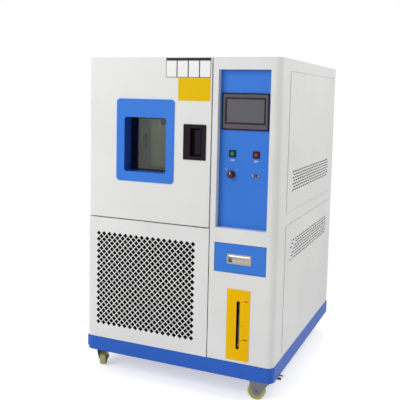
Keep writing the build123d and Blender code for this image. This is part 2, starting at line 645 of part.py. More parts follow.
# Cabinet face behind the door, with the staple that the bolt passes through
BOLT_Y = (DOOR_BACK - SHEET - BOLT_BACK_GAP - BOLT_THICKNESS, DOOR_BACK - SHEET - BOLT_BACK_GAP)
staple_x = (LEFT + STAPLE_CENTRE[0] - STAPLE_BAR / 2, LEFT + STAPLE_CENTRE[0] + STAPLE_BAR / 2)
bolt_z = (STAPLE_CENTRE[1] - BOLT_HEIGHT / 2, STAPLE_CENTRE[1] + BOLT_HEIGHT / 2)
with BuildPart() as door_frame:
    box((LEFT + SHEET, LEFT + COLUMN_LEFT), (FRAME_FACE, MOUTH), (DECK_TOP, TOP_INSIDE))
    box(CAVITY_X, (FRAME_FACE, MOUTH), CAVITY_Z, mode=Mode.SUBTRACT)
    staple_z = (STAPLE_CENTRE[1] - STAPLE_HEIGHT / 2, STAPLE_CENTRE[1] + STAPLE_HEIGHT / 2)
    box(staple_x, (FRAME_FACE - STAPLE_REACH, FRAME_FACE), staple_z)
    eye_y = (BOLT_Y[0] - LOOSE_FIT, BOLT_Y[1] + LOOSE_FIT)
    box(staple_x, eye_y, (bolt_z[0] - LOOSE_FIT, bolt_z[1] + LOOSE_FIT), mode=Mode.SUBTRACT)
door_frame.part.label = "door_frame"

# Inner box of the test space: five welded sheets, and four ledges for the shelves
port_inner = Plane((CAVITY_X[0], FRONT + PORT_BACK, PORT_HEIGHT), x_dir=(0, -1, 0), z_dir=(-1, 0, 0))
fan_back = at(CAVITY_CENTRE, LINER_BACK)
liner_x = (CAVITY_X[0] - SHEET, CAVITY_X[1] + SHEET)
liner_y = (MOUTH, LINER_BACK + SHEET)
liner_z = (CAVITY_Z[0] - SHEET, CAVITY_Z[1] + SHEET)
PLUG_FACE = DOOR_THICKNESS + PLUG_DEPTH
shelf_y = (FRONT + PLUG_FACE + SHELF_PLUG_GAP, MOUTH + CAVITY_DEPTH - LOOSE_FIT)


def sheet_part(x, y, z):
    """One flat sheet or bar as a solid of its own."""
    with BuildPart() as flat:
        box(x, y, z)
    return flat.part


with BuildPart() as liner_left:
    box((liner_x[0], CAVITY_X[0]), liner_y, liner_z)
    with Locations(port_inner):
        Cylinder(PORT_SLEEVE + SEAT_GAP, 4 * SHEET, mode=Mode.SUBTRACT)
with BuildPart() as liner_rear:
    box(CAVITY_X, (LINER_BACK, liner_y[1]), CAVITY_Z)
    with Locations(fan_back):
        Cylinder(FAN_SHAFT + LOOSE_FIT, 4 * SHEET, mode=Mode.SUBTRACT)
liner_parts = [
    liner_left.part,
    liner_rear.part,
    sheet_part((CAVITY_X[1], liner_x[1]), liner_y, liner_z),
    sheet_part(CAVITY_X, liner_y, (liner_z[0], CAVITY_Z[0])),
    sheet_part(CAVITY_X, liner_y, (CAVITY_Z[1], liner_z[1])),
]
for height in SHELF_HEIGHTS:
    ledge_z = (height - SHELF_THICKNESS / 2 - SHEET, height - SHELF_THICKNESS / 2)
    for ledge_x in ((CAVITY_X[0], CAVITY_X[0] + SHELF_LEDGE), (CAVITY_X[1] - SHELF_LEDGE, CAVITY_X[1])):
        liner_parts.append(sheet_part(ledge_x, shelf_y, ledge_z))
inner_liner = Compound(liner_parts)
inner_liner.label = "inner_liner"

# Foam between the inner box and the cabinet
with BuildPart() as insulation:
    box((LEFT + SHEET, BULKHEAD), (MOUTH, FOAM_BACK), (DECK_TOP, TOP_INSIDE))
    box(liner_x, liner_y, liner_z, mode=Mode.SUBTRACT)
    with Locations(port_inner):
        Cylinder(PORT_SLEEVE + SEAT_GAP, 4 * INSULATION, mode=Mode.SUBTRACT)
    with Locations(fan_back):
        Cylinder(2 * FAN_SHAFT, 4 * INSULATION, mode=Mode.SUBTRACT)
insulation.part.label = "insulation"

# Slotted shelves lying on the ledges
shelf_size = (CAVITY_WIDTH - 4 * LOOSE_FIT, shelf_y[1] - shelf_y[0])
shelf_slots = int(shelf_size[1] / SHELF_SLOT_PITCH) - 1
with BuildPart() as shelves:
    for height in SHELF_HEIGHTS:
        with BuildSketch(Plane.XY.offset(height - SHELF_THICKNESS / 2)):
            with Locations((sum(CAVITY_X) / 2, sum(shelf_y) / 2)):
                Rectangle(*shelf_size)
                with GridLocations(1, SHELF_SLOT_PITCH, 1, shelf_slots):
                    Rectangle(CAVITY_WIDTH - 2 * SHELF_SLOT_FROM_SIDES, SHELF_SLOT_WIDTH, mode=Mode.SUBTRACT)
        extrude(amount=SHELF_THICKNESS)
shelves.part.label = "shelves"

# Baffle between the test space and the air duct: fan eye in the middle, slots above and below
with BuildPart() as air_baffle:
    with BuildSketch(at(CAVITY_CENTRE, MOUTH + CAVITY_DEPTH)):
        Rectangle(CAVITY_WIDTH, CAVITY_HEIGHT)
        Circle(FAN_EYE, mode=Mode.SUBTRACT)
        slot_rise = CAVITY_HEIGHT / 2 - BAFFLE_SLOT_FROM_ENDS
        with Locations((0, slot_rise), (0, -slot_rise)):
            with GridLocations(1, BAFFLE_SLOT_PITCH, 1, 2):
                slot_length = CAVITY_WIDTH - 2 * BAFFLE_SLOT_FROM_SIDES
                Rectangle(slot_length, BAFFLE_SLOT_HEIGHT, mode=Mode.SUBTRACT)
    extrude(amount=-SHEET)
air_baffle.part.label = "air_baffle"

# Circulation fan in the duct, with its shaft through the back of the inner box
fan_front = MOUTH + CAVITY_DEPTH + SHEET + FAN_GAP
with BuildPart() as circulation_fan:
    with BuildSketch(at(CAVITY_CENTRE, fan_front + FAN_WIDTH)):
        Circle(FAN_RADIUS)
    extrude(amount=SHEET)
    with BuildSketch(at(CAVITY_CENTRE, fan_front + FAN_WIDTH - SHEET)):
        with PolarLocations(0.82 * FAN_RADIUS, FAN_BLADES):
            Rectangle(0.32 * FAN_RADIUS, 2 * SHEET, rotation=35)
    extrude(amount=FAN_WIDTH - SHEET)
    with BuildSketch(at(CAVITY_CENTRE, fan_front + FAN_WIDTH)):
        Circle(2 * FAN_SHAFT)
    extrude(amount=FAN_WIDTH / 2)
    with BuildSketch(at(CAVITY_CENTRE, fan_front + FAN_WIDTH / 2)):
        Circle(FAN_SHAFT)
    extrude(amount=-(FOAM_BACK + SHEET + MOTOR_LENGTH / 2 - fan_front - FAN_WIDTH / 2))
circulation_fan.part.label = "circulation_fan"

with BuildPart() as fan_motor:
    with BuildSketch(at(CAVITY_CENTRE, FOAM_BACK + SHEET)):
        Circle(MOTOR_RADIUS)
        Circle(FAN_SHAFT + RUNNING_FIT, mode=Mode.SUBTRACT)
    extrude(amount=-MOTOR_LENGTH)
    with BuildSketch(at(CAVITY_CENTRE, FOAM_BACK + SHEET)):
        with GridLocations(1.5 * MOTOR_RADIUS, 1.5 * MOTOR_RADIUS, 2, 2):
            Rectangle(0.45 * MOTOR_RADIUS, 0.45 * MOTOR_RADIUS)
    extrude(amount=-MOTOR_FOOT)
fan_motor.part.label = "fan_motor"

# Heater rods and the finned evaporator in the duct
duct_middle = MOUTH + CAVITY_DEPTH + SHEET + (DUCT_DEPTH - SHEET) / 2
with BuildPart() as heater_rods:
    heater_place = (CAVITY_X[0], duct_middle, CAVITY_Z[1] - HEATER_DROP)
    with BuildSketch(Plane(heater_place, x_dir=(0, 1, 0), z_dir=(1, 0, 0))):
        with GridLocations(1, HEATER_PITCH, 1, HEATER_ROWS):
            Circle(HEATER_RADIUS)
    extrude(amount=CAVITY_WIDTH)
heater_rods.part.label = "heater_rods"

with BuildPart() as evaporator:
    core_z = (CAVITY_Z[0], CAVITY_Z[0] + EVAPORATOR_HEIGHT)
    core_y = (duct_middle - EVAPORATOR_DEPTH / 2 + FIN_DEPTH, duct_middle + EVAPORATOR_DEPTH / 2)
    box(CAVITY_X, core_y, core_z)
    fin_count = int(CAVITY_WIDTH / FIN_PITCH)
    for fin in range(fin_count):
        fin_x = CAVITY_X[0] + (fin + 0.5) * CAVITY_WIDTH / fin_count
        box((fin_x - SHEET, fin_x + SHEET), (core_y[0] - FIN_DEPTH, core_y[0]), core_z)
evaporator.part.label = "evaporator"

# Cable port: a sleeve through the wall with a flange at each end
with BuildPart() as cable_port:
    sleeve_length = CAVITY_X[0] - LEFT
    with BuildSketch(port_plane):
        Circle(PORT_SLEEVE)
        Circle(PORT_BORE, mode=Mode.SUBTRACT)
    extrude(amount=-sleeve_length)
    for flange_plane, reach in ((port_plane, PORT_FLANGE_THICKNESS), (port_inner, -PORT_FLANGE_THICKNESS)):
        with BuildSketch(flange_plane):
            Circle(PORT_FLANGE_RADIUS)
            Circle(PORT_BORE, mode=Mode.SUBTRACT)
        extrude(amount=reach)
cable_port.part.label = "cable_port"

# Door skin: a pan with the rounded left edge, and its cut-outs for window and handle
door_middle = LEFT + DOOR_WIDTH / 2


def door_block(inset, front, back, mode=Mode.ADD):
    """The rounded door outline drawn in by an inset, between two depths behind the front face."""
    outline_width = DOOR_WIDTH - 2 * inset
    with BuildSketch(Plane.XY.offset(DOOR_BOTTOM + inset)) as outline:
        with Locations((LEFT + inset, FRONT + inset)):
            Rectangle(outline_width, CABINET_WIDTH, align=(Align.MIN, Align.MIN))
        fillet(outline.vertices().sort_by(Axis.Y)[:2].sort_by(Axis.X)[0], CORNER_RADIUS - inset)
        with Locations((door_middle, FRONT + front)):
            Rectangle(2 * DOOR_WIDTH, back - front, align=(Align.CENTER, Align.MIN), mode=Mode.INTERSECT)
    extrude(outline.sketch, amount=DOOR_HEIGHT - 2 * inset, mode=mode)


def window_block(growth, front, back, mode=Mode.SUBTRACT):
    """A rounded block in the line of the window, grown on every side, between two depths."""
    with BuildSketch(at(WINDOW_CENTRE, FRONT + front)) as shape:
        RectangleRounded(WINDOW_WIDTH + 2 * growth, WINDOW_HEIGHT + 2 * growth, WINDOW_RADIUS + growth)
    extrude(shape.sketch, amount=-(back - front), mode=mode)


body_size = (HANDLE_POCKET_WIDTH + 2 * HANDLE_WALL, HANDLE_POCKET_HEIGHT + 2 * HANDLE_WALL)
body_cut = (body_size[0] + 2 * SEAT_GAP, body_size[1] + 2 * SEAT_GAP)
cup_front = DOOR_THICKNESS - LATCH_CUP_DEPTH
bolt_right = LEFT + STAPLE_CENTRE[0] + STAPLE_BAR / 2 + BOLT_NOSE_GAP + BOLT_LENGTH
channel_x = (LEFT + STAPLE_CENTRE[0], bolt_right + LOOSE_FIT)
channel_y = (BOLT_Y[0] - SEAT_GAP, DOOR_BACK - SHEET)
channel_z = (bolt_z[0] - SEAT_GAP, bolt_z[1] + SEAT_GAP)

with BuildPart() as door_shell:
    door_block(0, 0, DOOR_THICKNESS)
    door_block(SHEET, SHEET, DOOR_THICKNESS, mode=Mode.SUBTRACT)
    window_block(WINDOW_WALL + SEAT_GAP, 0, SHEET)
    panel_cut(POCKET_CENTRE, *body_cut, SHEET)
door_shell.part.label = "door_shell"

# Window frame: a raised face and the recess walls that reach the outer pane
with BuildPart() as window_bezel:
    with BuildSketch(at(BEZEL_CENTRE, FRONT)):
        RectangleRounded(BEZEL_WIDTH, BEZEL_HEIGHT, BEZEL_RADIUS)
    extrude(amount=BEZEL_PROUD)
    window_block(WINDOW_WALL, 0, WINDOW_RECESS, mode=Mode.ADD)
    window_block(0, -BEZEL_PROUD, WINDOW_RECESS)
window_bezel.part.label = "window_bezel"

# Outer and inner pane, each lying in a rebate of the window tunnel
with BuildPart() as window_glass:
    window_block(PANE_OVERLAP, WINDOW_RECESS, WINDOW_RECESS + PANE_THICKNESS, mode=Mode.ADD)
    window_block(PANE_OVERLAP, PLUG_FACE - PANE_THICKNESS, PLUG_FACE, mode=Mode.ADD)
window_glass.part.label = "window_glass"

# Inner door skin: back plate, plug, window tunnel, latch cup and bolt channel
plug_x = (CAVITY_X[0] + PLUG_CLEARANCE, CAVITY_X[1] - PLUG_CLEARANCE)
plug_z = (CAVITY_Z[0] + PLUG_CLEARANCE, CAVITY_Z[1] - PLUG_CLEARANCE)
cup_x = (LEFT + STAPLE_CENTRE[0] - LATCH_CUP_WIDTH / 2, LEFT + STAPLE_CENTRE[0] + LATCH_CUP_WIDTH / 2)
cup_z = (STAPLE_CENTRE[1] - LATCH_CUP_HEIGHT / 2, STAPLE_CENTRE[1] + LATCH_CUP_HEIGHT / 2)
cup_outside_x = (cup_x[0] - SHEET, cup_x[1] + SHEET)
cup_outside_y = (FRONT + cup_front - SHEET, DOOR_BACK)
cup_outside_z = (cup_z[0] - SHEET, cup_z[1] + SHEET)
channel_outside_x = (cup_x[1], channel_x[1] + SHEET)
channel_outside_z = (channel_z[0] - SHEET, channel_z[1] + SHEET)
with BuildPart() as door_liner:
    door_block(SHEET, DOOR_THICKNESS - SHEET, DOOR_THICKNESS)
    box(plug_x, (DOOR_BACK, DOOR_BACK + PLUG_DEPTH), plug_z)
    hollow_x = (plug_x[0] + SHEET, plug_x[1] - SHEET)
    hollow_z = (plug_z[0] + SHEET, plug_z[1] - SHEET)
    box(hollow_x, (DOOR_BACK - SHEET, DOOR_BACK + PLUG_DEPTH - SHEET), hollow_z, mode=Mode.SUBTRACT)
    window_block(PANE_OVERLAP + TUNNEL_WALL, WINDOW_RECESS, PLUG_FACE, mode=Mode.ADD)
    window_block(0, WINDOW_RECESS, PLUG_FACE)
    window_block(PANE_OVERLAP, WINDOW_RECESS, WINDOW_RECESS + PANE_THICKNESS)
    window_block(PANE_OVERLAP, PLUG_FACE - PANE_THICKNESS, PLUG_FACE)
    box(cup_outside_x, cup_outside_y, cup_outside_z)
    box(channel_outside_x, (channel_y[0] - SHEET, channel_y[1]), channel_outside_z)
    box(cup_x, (FRONT + cup_front, DOOR_BACK), cup_z, mode=Mode.SUBTRACT)
    box(channel_x, channel_y, channel_z, mode=Mode.SUBTRACT)
door_liner.part.label = "door_liner"

# Foam that fills the door and its plug
with BuildPart() as door_foam:
    door_block(SHEET, SHEET, DOOR_THICKNESS - SHEET)
    box(hollow_x, (DOOR_BACK - SHEET, DOOR_BACK + PLUG_DEPTH - SHEET), hollow_z)
    window_block(WINDOW_WALL + SEAT_GAP, 0, WINDOW_RECESS)
    window_block(PANE_OVERLAP + TUNNEL_WALL, WINDOW_RECESS, PLUG_FACE)
    panel_cut(POCKET_CENTRE, *body_cut, HANDLE_BODY_DEPTH)
    box(cup_outside_x, cup_outside_y, cup_outside_z, mode=Mode.SUBTRACT)
    box(channel_outside_x, (channel_y[0] - SHEET, DOOR_BACK), channel_outside_z, mode=Mode.SUBTRACT)
door_foam.part.label = "door_foam"

# Door seal, pressed between the inner skin and the cabinet face
with BuildPart() as door_gasket:
    with BuildSketch(at(CAVITY_CENTRE, DOOR_BACK)):
        seal_reach = 2 * (SEAL_FROM_MOUTH + SEAL_WIDTH)
        RectangleRounded(CAVITY_WIDTH + seal_reach, CAVITY_HEIGHT + seal_reach, SEAL_WIDTH)
        Rectangle(CAVITY_WIDTH + 2 * SEAL_FROM_MOUTH, CAVITY_HEIGHT + 2 * SEAL_FROM_MOUTH, mode=Mode.SUBTRACT)
    extrude(amount=-(DOOR_GAP - SEAL_RELIEF))
door_gasket.part.label = "door_gasket"

# Lift-off hinges: the lower knuckle and its pin on the cabinet, the upper knuckle on the door
HINGE_AXIS = (LEFT - HINGE_OFFSET, FRONT + DOOR_THICKNESS + DOOR_GAP / 2)
hinge_heights = (DOOR_BOTTOM + HINGE_FROM_ENDS, CABINET_HEIGHT - HINGE_FROM_ENDS)


def knuckle(bottom, height, radius, mode=Mode.ADD):
    """A cylinder on the hinge axis."""
    with BuildSketch(Plane.XY.offset(bottom)) as circle:
        with Locations(HINGE_AXIS):
            Circle(radius)
    extrude(circle.sketch, amount=height, mode=mode)


with BuildPart() as door_hinges:
    for height in hinge_heights:
        low = height + HINGE_LIFT_GAP / 2
        box((LEFT - HINGE_LEAF, LEFT), (FRONT + CORNER_RADIUS + 1, DOOR_BACK), (low, low + HINGE_HEIGHT))
        box((HINGE_AXIS[0], LEFT), (DOOR_BACK - HINGE_LEAF, DOOR_BACK), (low, low + HINGE_HEIGHT))
        knuckle(low, HINGE_HEIGHT, HINGE_KNUCKLE)
        knuckle(low, HINGE_HEIGHT, HINGE_PIN + RUNNING_FIT, mode=Mode.SUBTRACT)
door_hinges.part.label = "door_hinges"

with BuildPart() as hinge_brackets:
    for height in hinge_heights:
        high = height - HINGE_LIFT_GAP / 2
        leaf_y = (FRAME_FACE, FRAME_FACE + HINGE_LEAF_WIDTH)
        box((LEFT - HINGE_LEAF, LEFT), leaf_y, (high - HINGE_HEIGHT, high))
        box((HINGE_AXIS[0], LEFT), (FRAME_FACE, FRAME_FACE + HINGE_LEAF), (high - HINGE_HEIGHT, high))
        knuckle(high - HINGE_HEIGHT, HINGE_HEIGHT, HINGE_KNUCKLE)
        knuckle(high, HINGE_HEIGHT - HINGE_PIN, HINGE_PIN)
hinge_brackets.part.label = "hinge_brackets"

# Flush handle: face, pocket and the pin that the paddle turns on
pocket_x = (
    LEFT + POCKET_CENTRE[0] - HANDLE_POCKET_WIDTH / 2,
    LEFT + POCKET_CENTRE[0] + HANDLE_POCKET_WIDTH / 2,
)
PADDLE_AXIS = (pocket_x[1] - PADDLE_BARREL - PADDLE_EDGE_GAP, FRONT + PADDLE_THICKNESS - 1)
pocket_z = (HANDLE_CENTRE[1] - HANDLE_POCKET_HEIGHT / 2, HANDLE_CENTRE[1] + HANDLE_POCKET_HEIGHT / 2)
with BuildPart() as handle_housing:
    with BuildSketch(at(HANDLE_CENTRE, FRONT)):
        RectangleRounded(HANDLE_WIDTH, HANDLE_HEIGHT, HANDLE_WALL)
    extrude(amount=HANDLE_PROUD)
    with BuildSketch(at(POCKET_CENTRE, FRONT)):
        Rectangle(*body_size)
    extrude(amount=-HANDLE_BODY_DEPTH)
    box(pocket_x, (FRONT - HANDLE_PROUD, FRONT + HANDLE_POCKET_DEPTH), pocket_z, mode=Mode.SUBTRACT)
    with BuildSketch(Plane.XY.offset(pocket_z[0])):
        with Locations(PADDLE_AXIS):
            Circle(PADDLE_PIN)
    extrude(amount=HANDLE_POCKET_HEIGHT)
handle_housing.part.label = "handle_housing"

with BuildPart() as handle_paddle:
    with BuildSketch(Plane.XY.offset(HANDLE_CENTRE[1] - PADDLE_HEIGHT / 2)):
        with Locations(PADDLE_AXIS):
            Circle(PADDLE_BARREL)
        with Locations((PADDLE_AXIS[0] - PADDLE_WIDTH / 2, PADDLE_AXIS[1] - PADDLE_THICKNESS / 2)):
            Rectangle(PADDLE_WIDTH, PADDLE_THICKNESS)
        with Locations(PADDLE_AXIS):
            Circle(PADDLE_PIN + RUNNING_FIT, mode=Mode.SUBTRACT)
    extrude(amount=PADDLE_HEIGHT)
handle_paddle.part.label = "handle_paddle"

with BuildPart() as latch_bolt:
    box((bolt_right - BOLT_LENGTH, bolt_right), BOLT_Y, bolt_z)
    chamfer(latch_bolt.edges().filter_by(Axis.Z).sort_by(Axis.X)[:2], BOLT_CHAMFER)
latch_bolt.part.label = "latch_bolt"

# Controls panel at the back of the recess
panel_size = (RECESS_WIDTH + 2 * PANEL_OVERLAP, RECESS_HEIGHT + 2 * PANEL_OVERLAP)
unit_body = (SCREEN_UNIT_WIDTH - 2 * PANEL_OVERLAP, SCREEN_UNIT_HEIGHT - 2 * PANEL_OVERLAP)
with BuildPart() as control_panel:
    with BuildSketch(at(RECESS_CENTRE, RECESS_BACK)) as plate:
        Rectangle(*panel_size)
    extrude(amount=-PANEL_THICKNESS)
    panel_depth = RECESS_DEPTH + PANEL_THICKNESS
    panel_cut(SCREEN_UNIT_CENTRE, unit_body[0] + 2 * SEAT_GAP, unit_body[1] + 2 * SEAT_GAP, panel_depth)
    panel_cut(PORT_CENTRE, PORT_SHELL[0] + 2 * SEAT_GAP, PORT_SHELL[1] + 2 * SEAT_GAP, panel_depth)
    for place in (START_CENTRE, STOP_CENTRE, KNOB_CENTRE):
        with Locations(at(place, RECESS_BACK)):
            Cylinder(BARREL_RADIUS + SEAT_GAP, 4 * PANEL_THICKNESS, mode=Mode.SUBTRACT)
control_panel.part.label = "control_panel"

# Touch screen unit
with BuildPart() as hmi_housing:
    with BuildSketch(at(SCREEN_UNIT_CENTRE, RECESS_BACK)):
        Rectangle(SCREEN_UNIT_WIDTH, SCREEN_UNIT_HEIGHT)
    extrude(amount=SCREEN_UNIT_PROUD)
    chamfer(hmi_housing.edges().group_by(Axis.Y)[0], SCREEN_UNIT_CHAMFER)
    with BuildSketch(at(SCREEN_UNIT_CENTRE, RECESS_BACK)):
        Rectangle(*unit_body)
    extrude(amount=-SCREEN_UNIT_BODY)
    with BuildSketch(at(SCREEN_CENTRE, RECESS_BACK - SCREEN_UNIT_PROUD)):
        Rectangle(SCREEN_WIDTH + 2 * SEAT_GAP, SCREEN_HEIGHT + 2 * SEAT_GAP)
    extrude(amount=-(SCREEN_SINK + SCREEN_THICKNESS), mode=Mode.SUBTRACT)
hmi_housing.part.label = "hmi_housing"

with BuildPart() as hmi_screen:
    with BuildSketch(at(SCREEN_CENTRE, RECESS_BACK - SCREEN_UNIT_PROUD + SCREEN_SINK)):
        Rectangle(SCREEN_WIDTH, SCREEN_HEIGHT)
    extrude(amount=-SCREEN_THICKNESS)
hmi_screen.part.label = "hmi_screen"

# Bezels of the push buttons and base ring of the selector
with BuildPart() as control_bezels:
    for place in (START_CENTRE, STOP_CENTRE):
        with BuildSketch(at(place, RECESS_BACK)):
            RectangleRounded(BEZEL_SQUARE, BEZEL_SQUARE, BEZEL_PLATE)
        extrude(amount=BEZEL_PLATE)
        with BuildSketch(at(place, RECESS_BACK)):
            Circle(BARREL_RADIUS)
        extrude(amount=-BARREL_LENGTH)
        with BuildSketch(at(place, RECESS_BACK - BEZEL_PLATE)):
            Circle(BUTTON_RADIUS + RUNNING_FIT)
        extrude(amount=-(BARREL_LENGTH - BEZEL_PLATE), mode=Mode.SUBTRACT)
    with BuildSketch(at(KNOB_CENTRE, RECESS_BACK)):
        Circle(KNOB_RADIUS - 1)
    extrude(amount=KNOB_RING)
    with BuildSketch(at(KNOB_CENTRE, RECESS_BACK)):
        Circle(BARREL_RADIUS)
    extrude(amount=-BARREL_LENGTH)
    with Locations(at(KNOB_CENTRE, RECESS_BACK)):
        Cylinder(KNOB_SHAFT + RUNNING_FIT, 4 * BARREL_LENGTH, mode=Mode.SUBTRACT)
control_bezels.part.label = "control_bezels"


def push_button(place, label):
    """A round push button with a domed edge."""
    with BuildPart() as button:
        with BuildSketch(at(place, RECESS_BACK - BEZEL_PLATE - BUTTON_PROUD)):
            Circle(BUTTON_RADIUS)
        extrude(amount=-BUTTON_LENGTH)
        chamfer(button.edges().group_by(Axis.Y)[0], BUTTON_CHAMFER)
    button.part.label = label
    return button.part


start_button = push_button(START_CENTRE, "start_button")
stop_button = push_button(STOP_CENTRE, "stop_button")

with BuildPart() as selector_knob:
    knob_back = RECESS_BACK - KNOB_RING - SEAT_GAP
    with BuildSketch(at(KNOB_CENTRE, knob_back)):
        Circle(KNOB_RADIUS)
    extrude(amount=KNOB_SKIRT)
    with BuildSketch(at(KNOB_CENTRE, knob_back - KNOB_SKIRT)):
        Circle(KNOB_GRIP)
        Rectangle(2 * KNOB_GRIP, KNOB_SKIRT)
        with Locations((0, KNOB_GRIP / 2)):
            Rectangle(KNOB_SKIRT / 2, KNOB_GRIP + 2)
    extrude(amount=KNOB_HEIGHT - KNOB_SKIRT)
    with BuildSketch(at(KNOB_CENTRE, knob_back)):
        Circle(KNOB_SHAFT)
    extrude(amount=-(KNOB_SHAFT_LENGTH + KNOB_RING))
selector_knob.part.label = "selector_knob"

with BuildPart() as serial_port:
    with BuildSketch(at(PORT_CENTRE, RECESS_BACK)):
        RectangleRounded(*PORT_FLANGE, 1)
    extrude(amount=1)
    with BuildSketch(at(PORT_CENTRE, RECESS_BACK - PORT_PROUD)) :
        Trapezoid(*PORT_SHELL, PORT_SHELL_ANGLE, rotation=180)
    extrude(amount=-2 * PORT_PROUD)
    with BuildSketch(at(PORT_CENTRE, RECESS_BACK - PORT_PROUD)):
        socket = [side - 2 * PORT_SHELL_WALL for side in PORT_SHELL]
        Trapezoid(*socket, PORT_SHELL_ANGLE, rotation=180)
    extrude(amount=-(PORT_PROUD - PORT_SHELL_WALL), mode=Mode.SUBTRACT)
serial_port.part.label = "serial_port"

# Drawer: guide box with ledges, front, tray with runners and the recessed pull
HOUSING_BACK = FRONT + SHEET + DRAWER_FRONT_DEPTH + TRAY_DEPTH + TRAVEL_STOP
opening_x = (LEFT + DRAWER_LEFT, LEFT + DRAWER_LEFT + DRAWER_WIDTH)
opening_z = (DRAWER_BOTTOM, DRAWER_BOTTOM + DRAWER_HEIGHT)
tray_x = (opening_x[0] + TRAY_SIDE_GAP, opening_x[1] - TRAY_SIDE_GAP)
tray_y = (FRONT + DRAWER_FRONT_DEPTH, FRONT + DRAWER_FRONT_DEPTH + TRAY_DEPTH)
tray_z = (DRAWER_BOTTOM + TRAY_FLOOR_GAP, DRAWER_BOTTOM + TRAY_FLOOR_GAP + TRAY_HEIGHT)
runner_z = (tray_z[0] + TRAY_HEIGHT / 2, tray_z[0] + TRAY_HEIGHT / 2 + RUNNER_THICKNESS)
with BuildPart() as drawer_housing:
    outer_x = (opening_x[0] - SHEET, opening_x[1] + SHEET)
    box(outer_x, (FRONT + SHEET, HOUSING_BACK), (opening_z[0] - SHEET, opening_z[1] + SHEET))
    box(opening_x, (FRONT + SHEET, HOUSING_BACK - SHEET), opening_z, mode=Mode.SUBTRACT)
    ledge_y = (FRONT + DRAWER_FRONT_DEPTH + SHEET, HOUSING_BACK - SHEET)
    ledge_z = (runner_z[0] - SEAT_GAP - RUNNER_THICKNESS, runner_z[0] - SEAT_GAP)
    for ledge_x in (
        (opening_x[0], tray_x[0] - RUNNER_THICKNESS),
        (tray_x[1] + RUNNER_THICKNESS, opening_x[1]),
    ):
        box(ledge_x, ledge_y, ledge_z)
drawer_housing.part.label = "drawer_housing"

pull_cut = (PULL_WIDTH - 2 * PULL_RIM, PULL_HEIGHT - 2 * PULL_RIM)
pull_hole = (pull_cut[0] + 2 * SEAT_GAP, pull_cut[1] + 2 * SEAT_GAP)
with BuildPart() as drawer_front:
    with BuildSketch(at(DRAWER_CENTRE, FRONT)):
        Rectangle(DRAWER_WIDTH - 2 * DRAWER_GAP, DRAWER_HEIGHT - 2 * DRAWER_GAP)
    extrude(amount=-DRAWER_FRONT_DEPTH)
    offset(amount=-SHEET, openings=drawer_front.faces().sort_by(Axis.Y)[-1])
    panel_cut(PULL_CENTRE, *pull_hole, DRAWER_FRONT_DEPTH)
drawer_front.part.label = "drawer_front"

with BuildPart() as drawer_tray:
    box(tray_x, tray_y, tray_z)
    front_x = (opening_x[0] + DRAWER_GAP, opening_x[1] - DRAWER_GAP)
    front_z = (opening_z[0] + DRAWER_GAP, opening_z[1] - DRAWER_GAP)
    box(front_x, (tray_y[0], tray_y[0] + SHEET), front_z)
    inner_y = (tray_y[0] + SHEET, tray_y[1] - SHEET)
    box((tray_x[0] + SHEET, tray_x[1] - SHEET), inner_y, (tray_z[0] + SHEET, tray_z[1]), mode=Mode.SUBTRACT)
    runner_y = (tray_y[0] + 2 * SHEET, tray_y[1])
    box((opening_x[0] + LOOSE_FIT, tray_x[0]), runner_y, runner_z)
    box((tray_x[1], opening_x[1] - LOOSE_FIT), runner_y, runner_z)
    panel_cut(PULL_CENTRE, *pull_hole, DRAWER_FRONT_DEPTH + SHEET)
drawer_tray.part.label = "drawer_tray"

with BuildPart() as drawer_pull:
    with BuildSketch(at(PULL_CENTRE, FRONT)):
        RectangleRounded(PULL_WIDTH, PULL_HEIGHT, PULL_PROUD)
    extrude(amount=PULL_PROUD)
    with BuildSketch(at(PULL_CENTRE, FRONT)):
        Rectangle(*pull_cut)
    extrude(amount=-PULL_DEPTH)
    with BuildSketch(at(PULL_CENTRE, FRONT - PULL_PROUD)):
        Rectangle(pull_cut[0] - 2 * SHEET, pull_cut[1] - 2 * SHEET)
    extrude(amount=-(PULL_DEPTH + PULL_PROUD - SHEET), mode=Mode.SUBTRACT)
drawer_pull.part.label = "drawer_pull"

# Level gauge: plate with its slot, clear tube, float, and the tank that the tube belongs to
with BuildPart() as gauge_plate:
    with BuildSketch(at(GAUGE_CENTRE, FRONT)):
        Rectangle(GAUGE_WIDTH, GAUGE_HEIGHT)
        SlotOverall(GAUGE_SLOT_HEIGHT, GAUGE_SLOT_WIDTH, rotation=90, mode=Mode.SUBTRACT)
    extrude(amount=GAUGE_PROUD)
gauge_plate.part.label = "gauge_plate"

TUBE_PLACE = (LEFT + GAUGE_CENTRE[0], FRONT + TUBE_BACK)
slot_bottom = GAUGE_CENTRE[1] - GAUGE_SLOT_HEIGHT / 2
slot_top = GAUGE_CENTRE[1] + GAUGE_SLOT_HEIGHT / 2
lug_outside = LUG_HEIGHT - LUG_CORE - LUG_INSIDE_SLOT
tube_z = (slot_bottom - lug_outside, slot_top + lug_outside)
with BuildPart() as sight_tube:
    with BuildSketch(Plane.XY.offset(tube_z[0])):
        with Locations(TUBE_PLACE):
            Circle(TUBE_RADIUS)
            Circle(TUBE_BORE, mode=Mode.SUBTRACT)
    extrude(amount=tube_z[1] - tube_z[0])
sight_tube.part.label = "sight_tube"

with BuildPart() as level_float:
    with BuildSketch(Plane.XY.offset(tube_z[0] + LUG_HEIGHT - LUG_CORE)):
        with Locations(TUBE_PLACE):
            Circle(FLOAT_RADIUS)
    extrude(amount=FLOAT_HEIGHT)
level_float.part.label = "level_float"

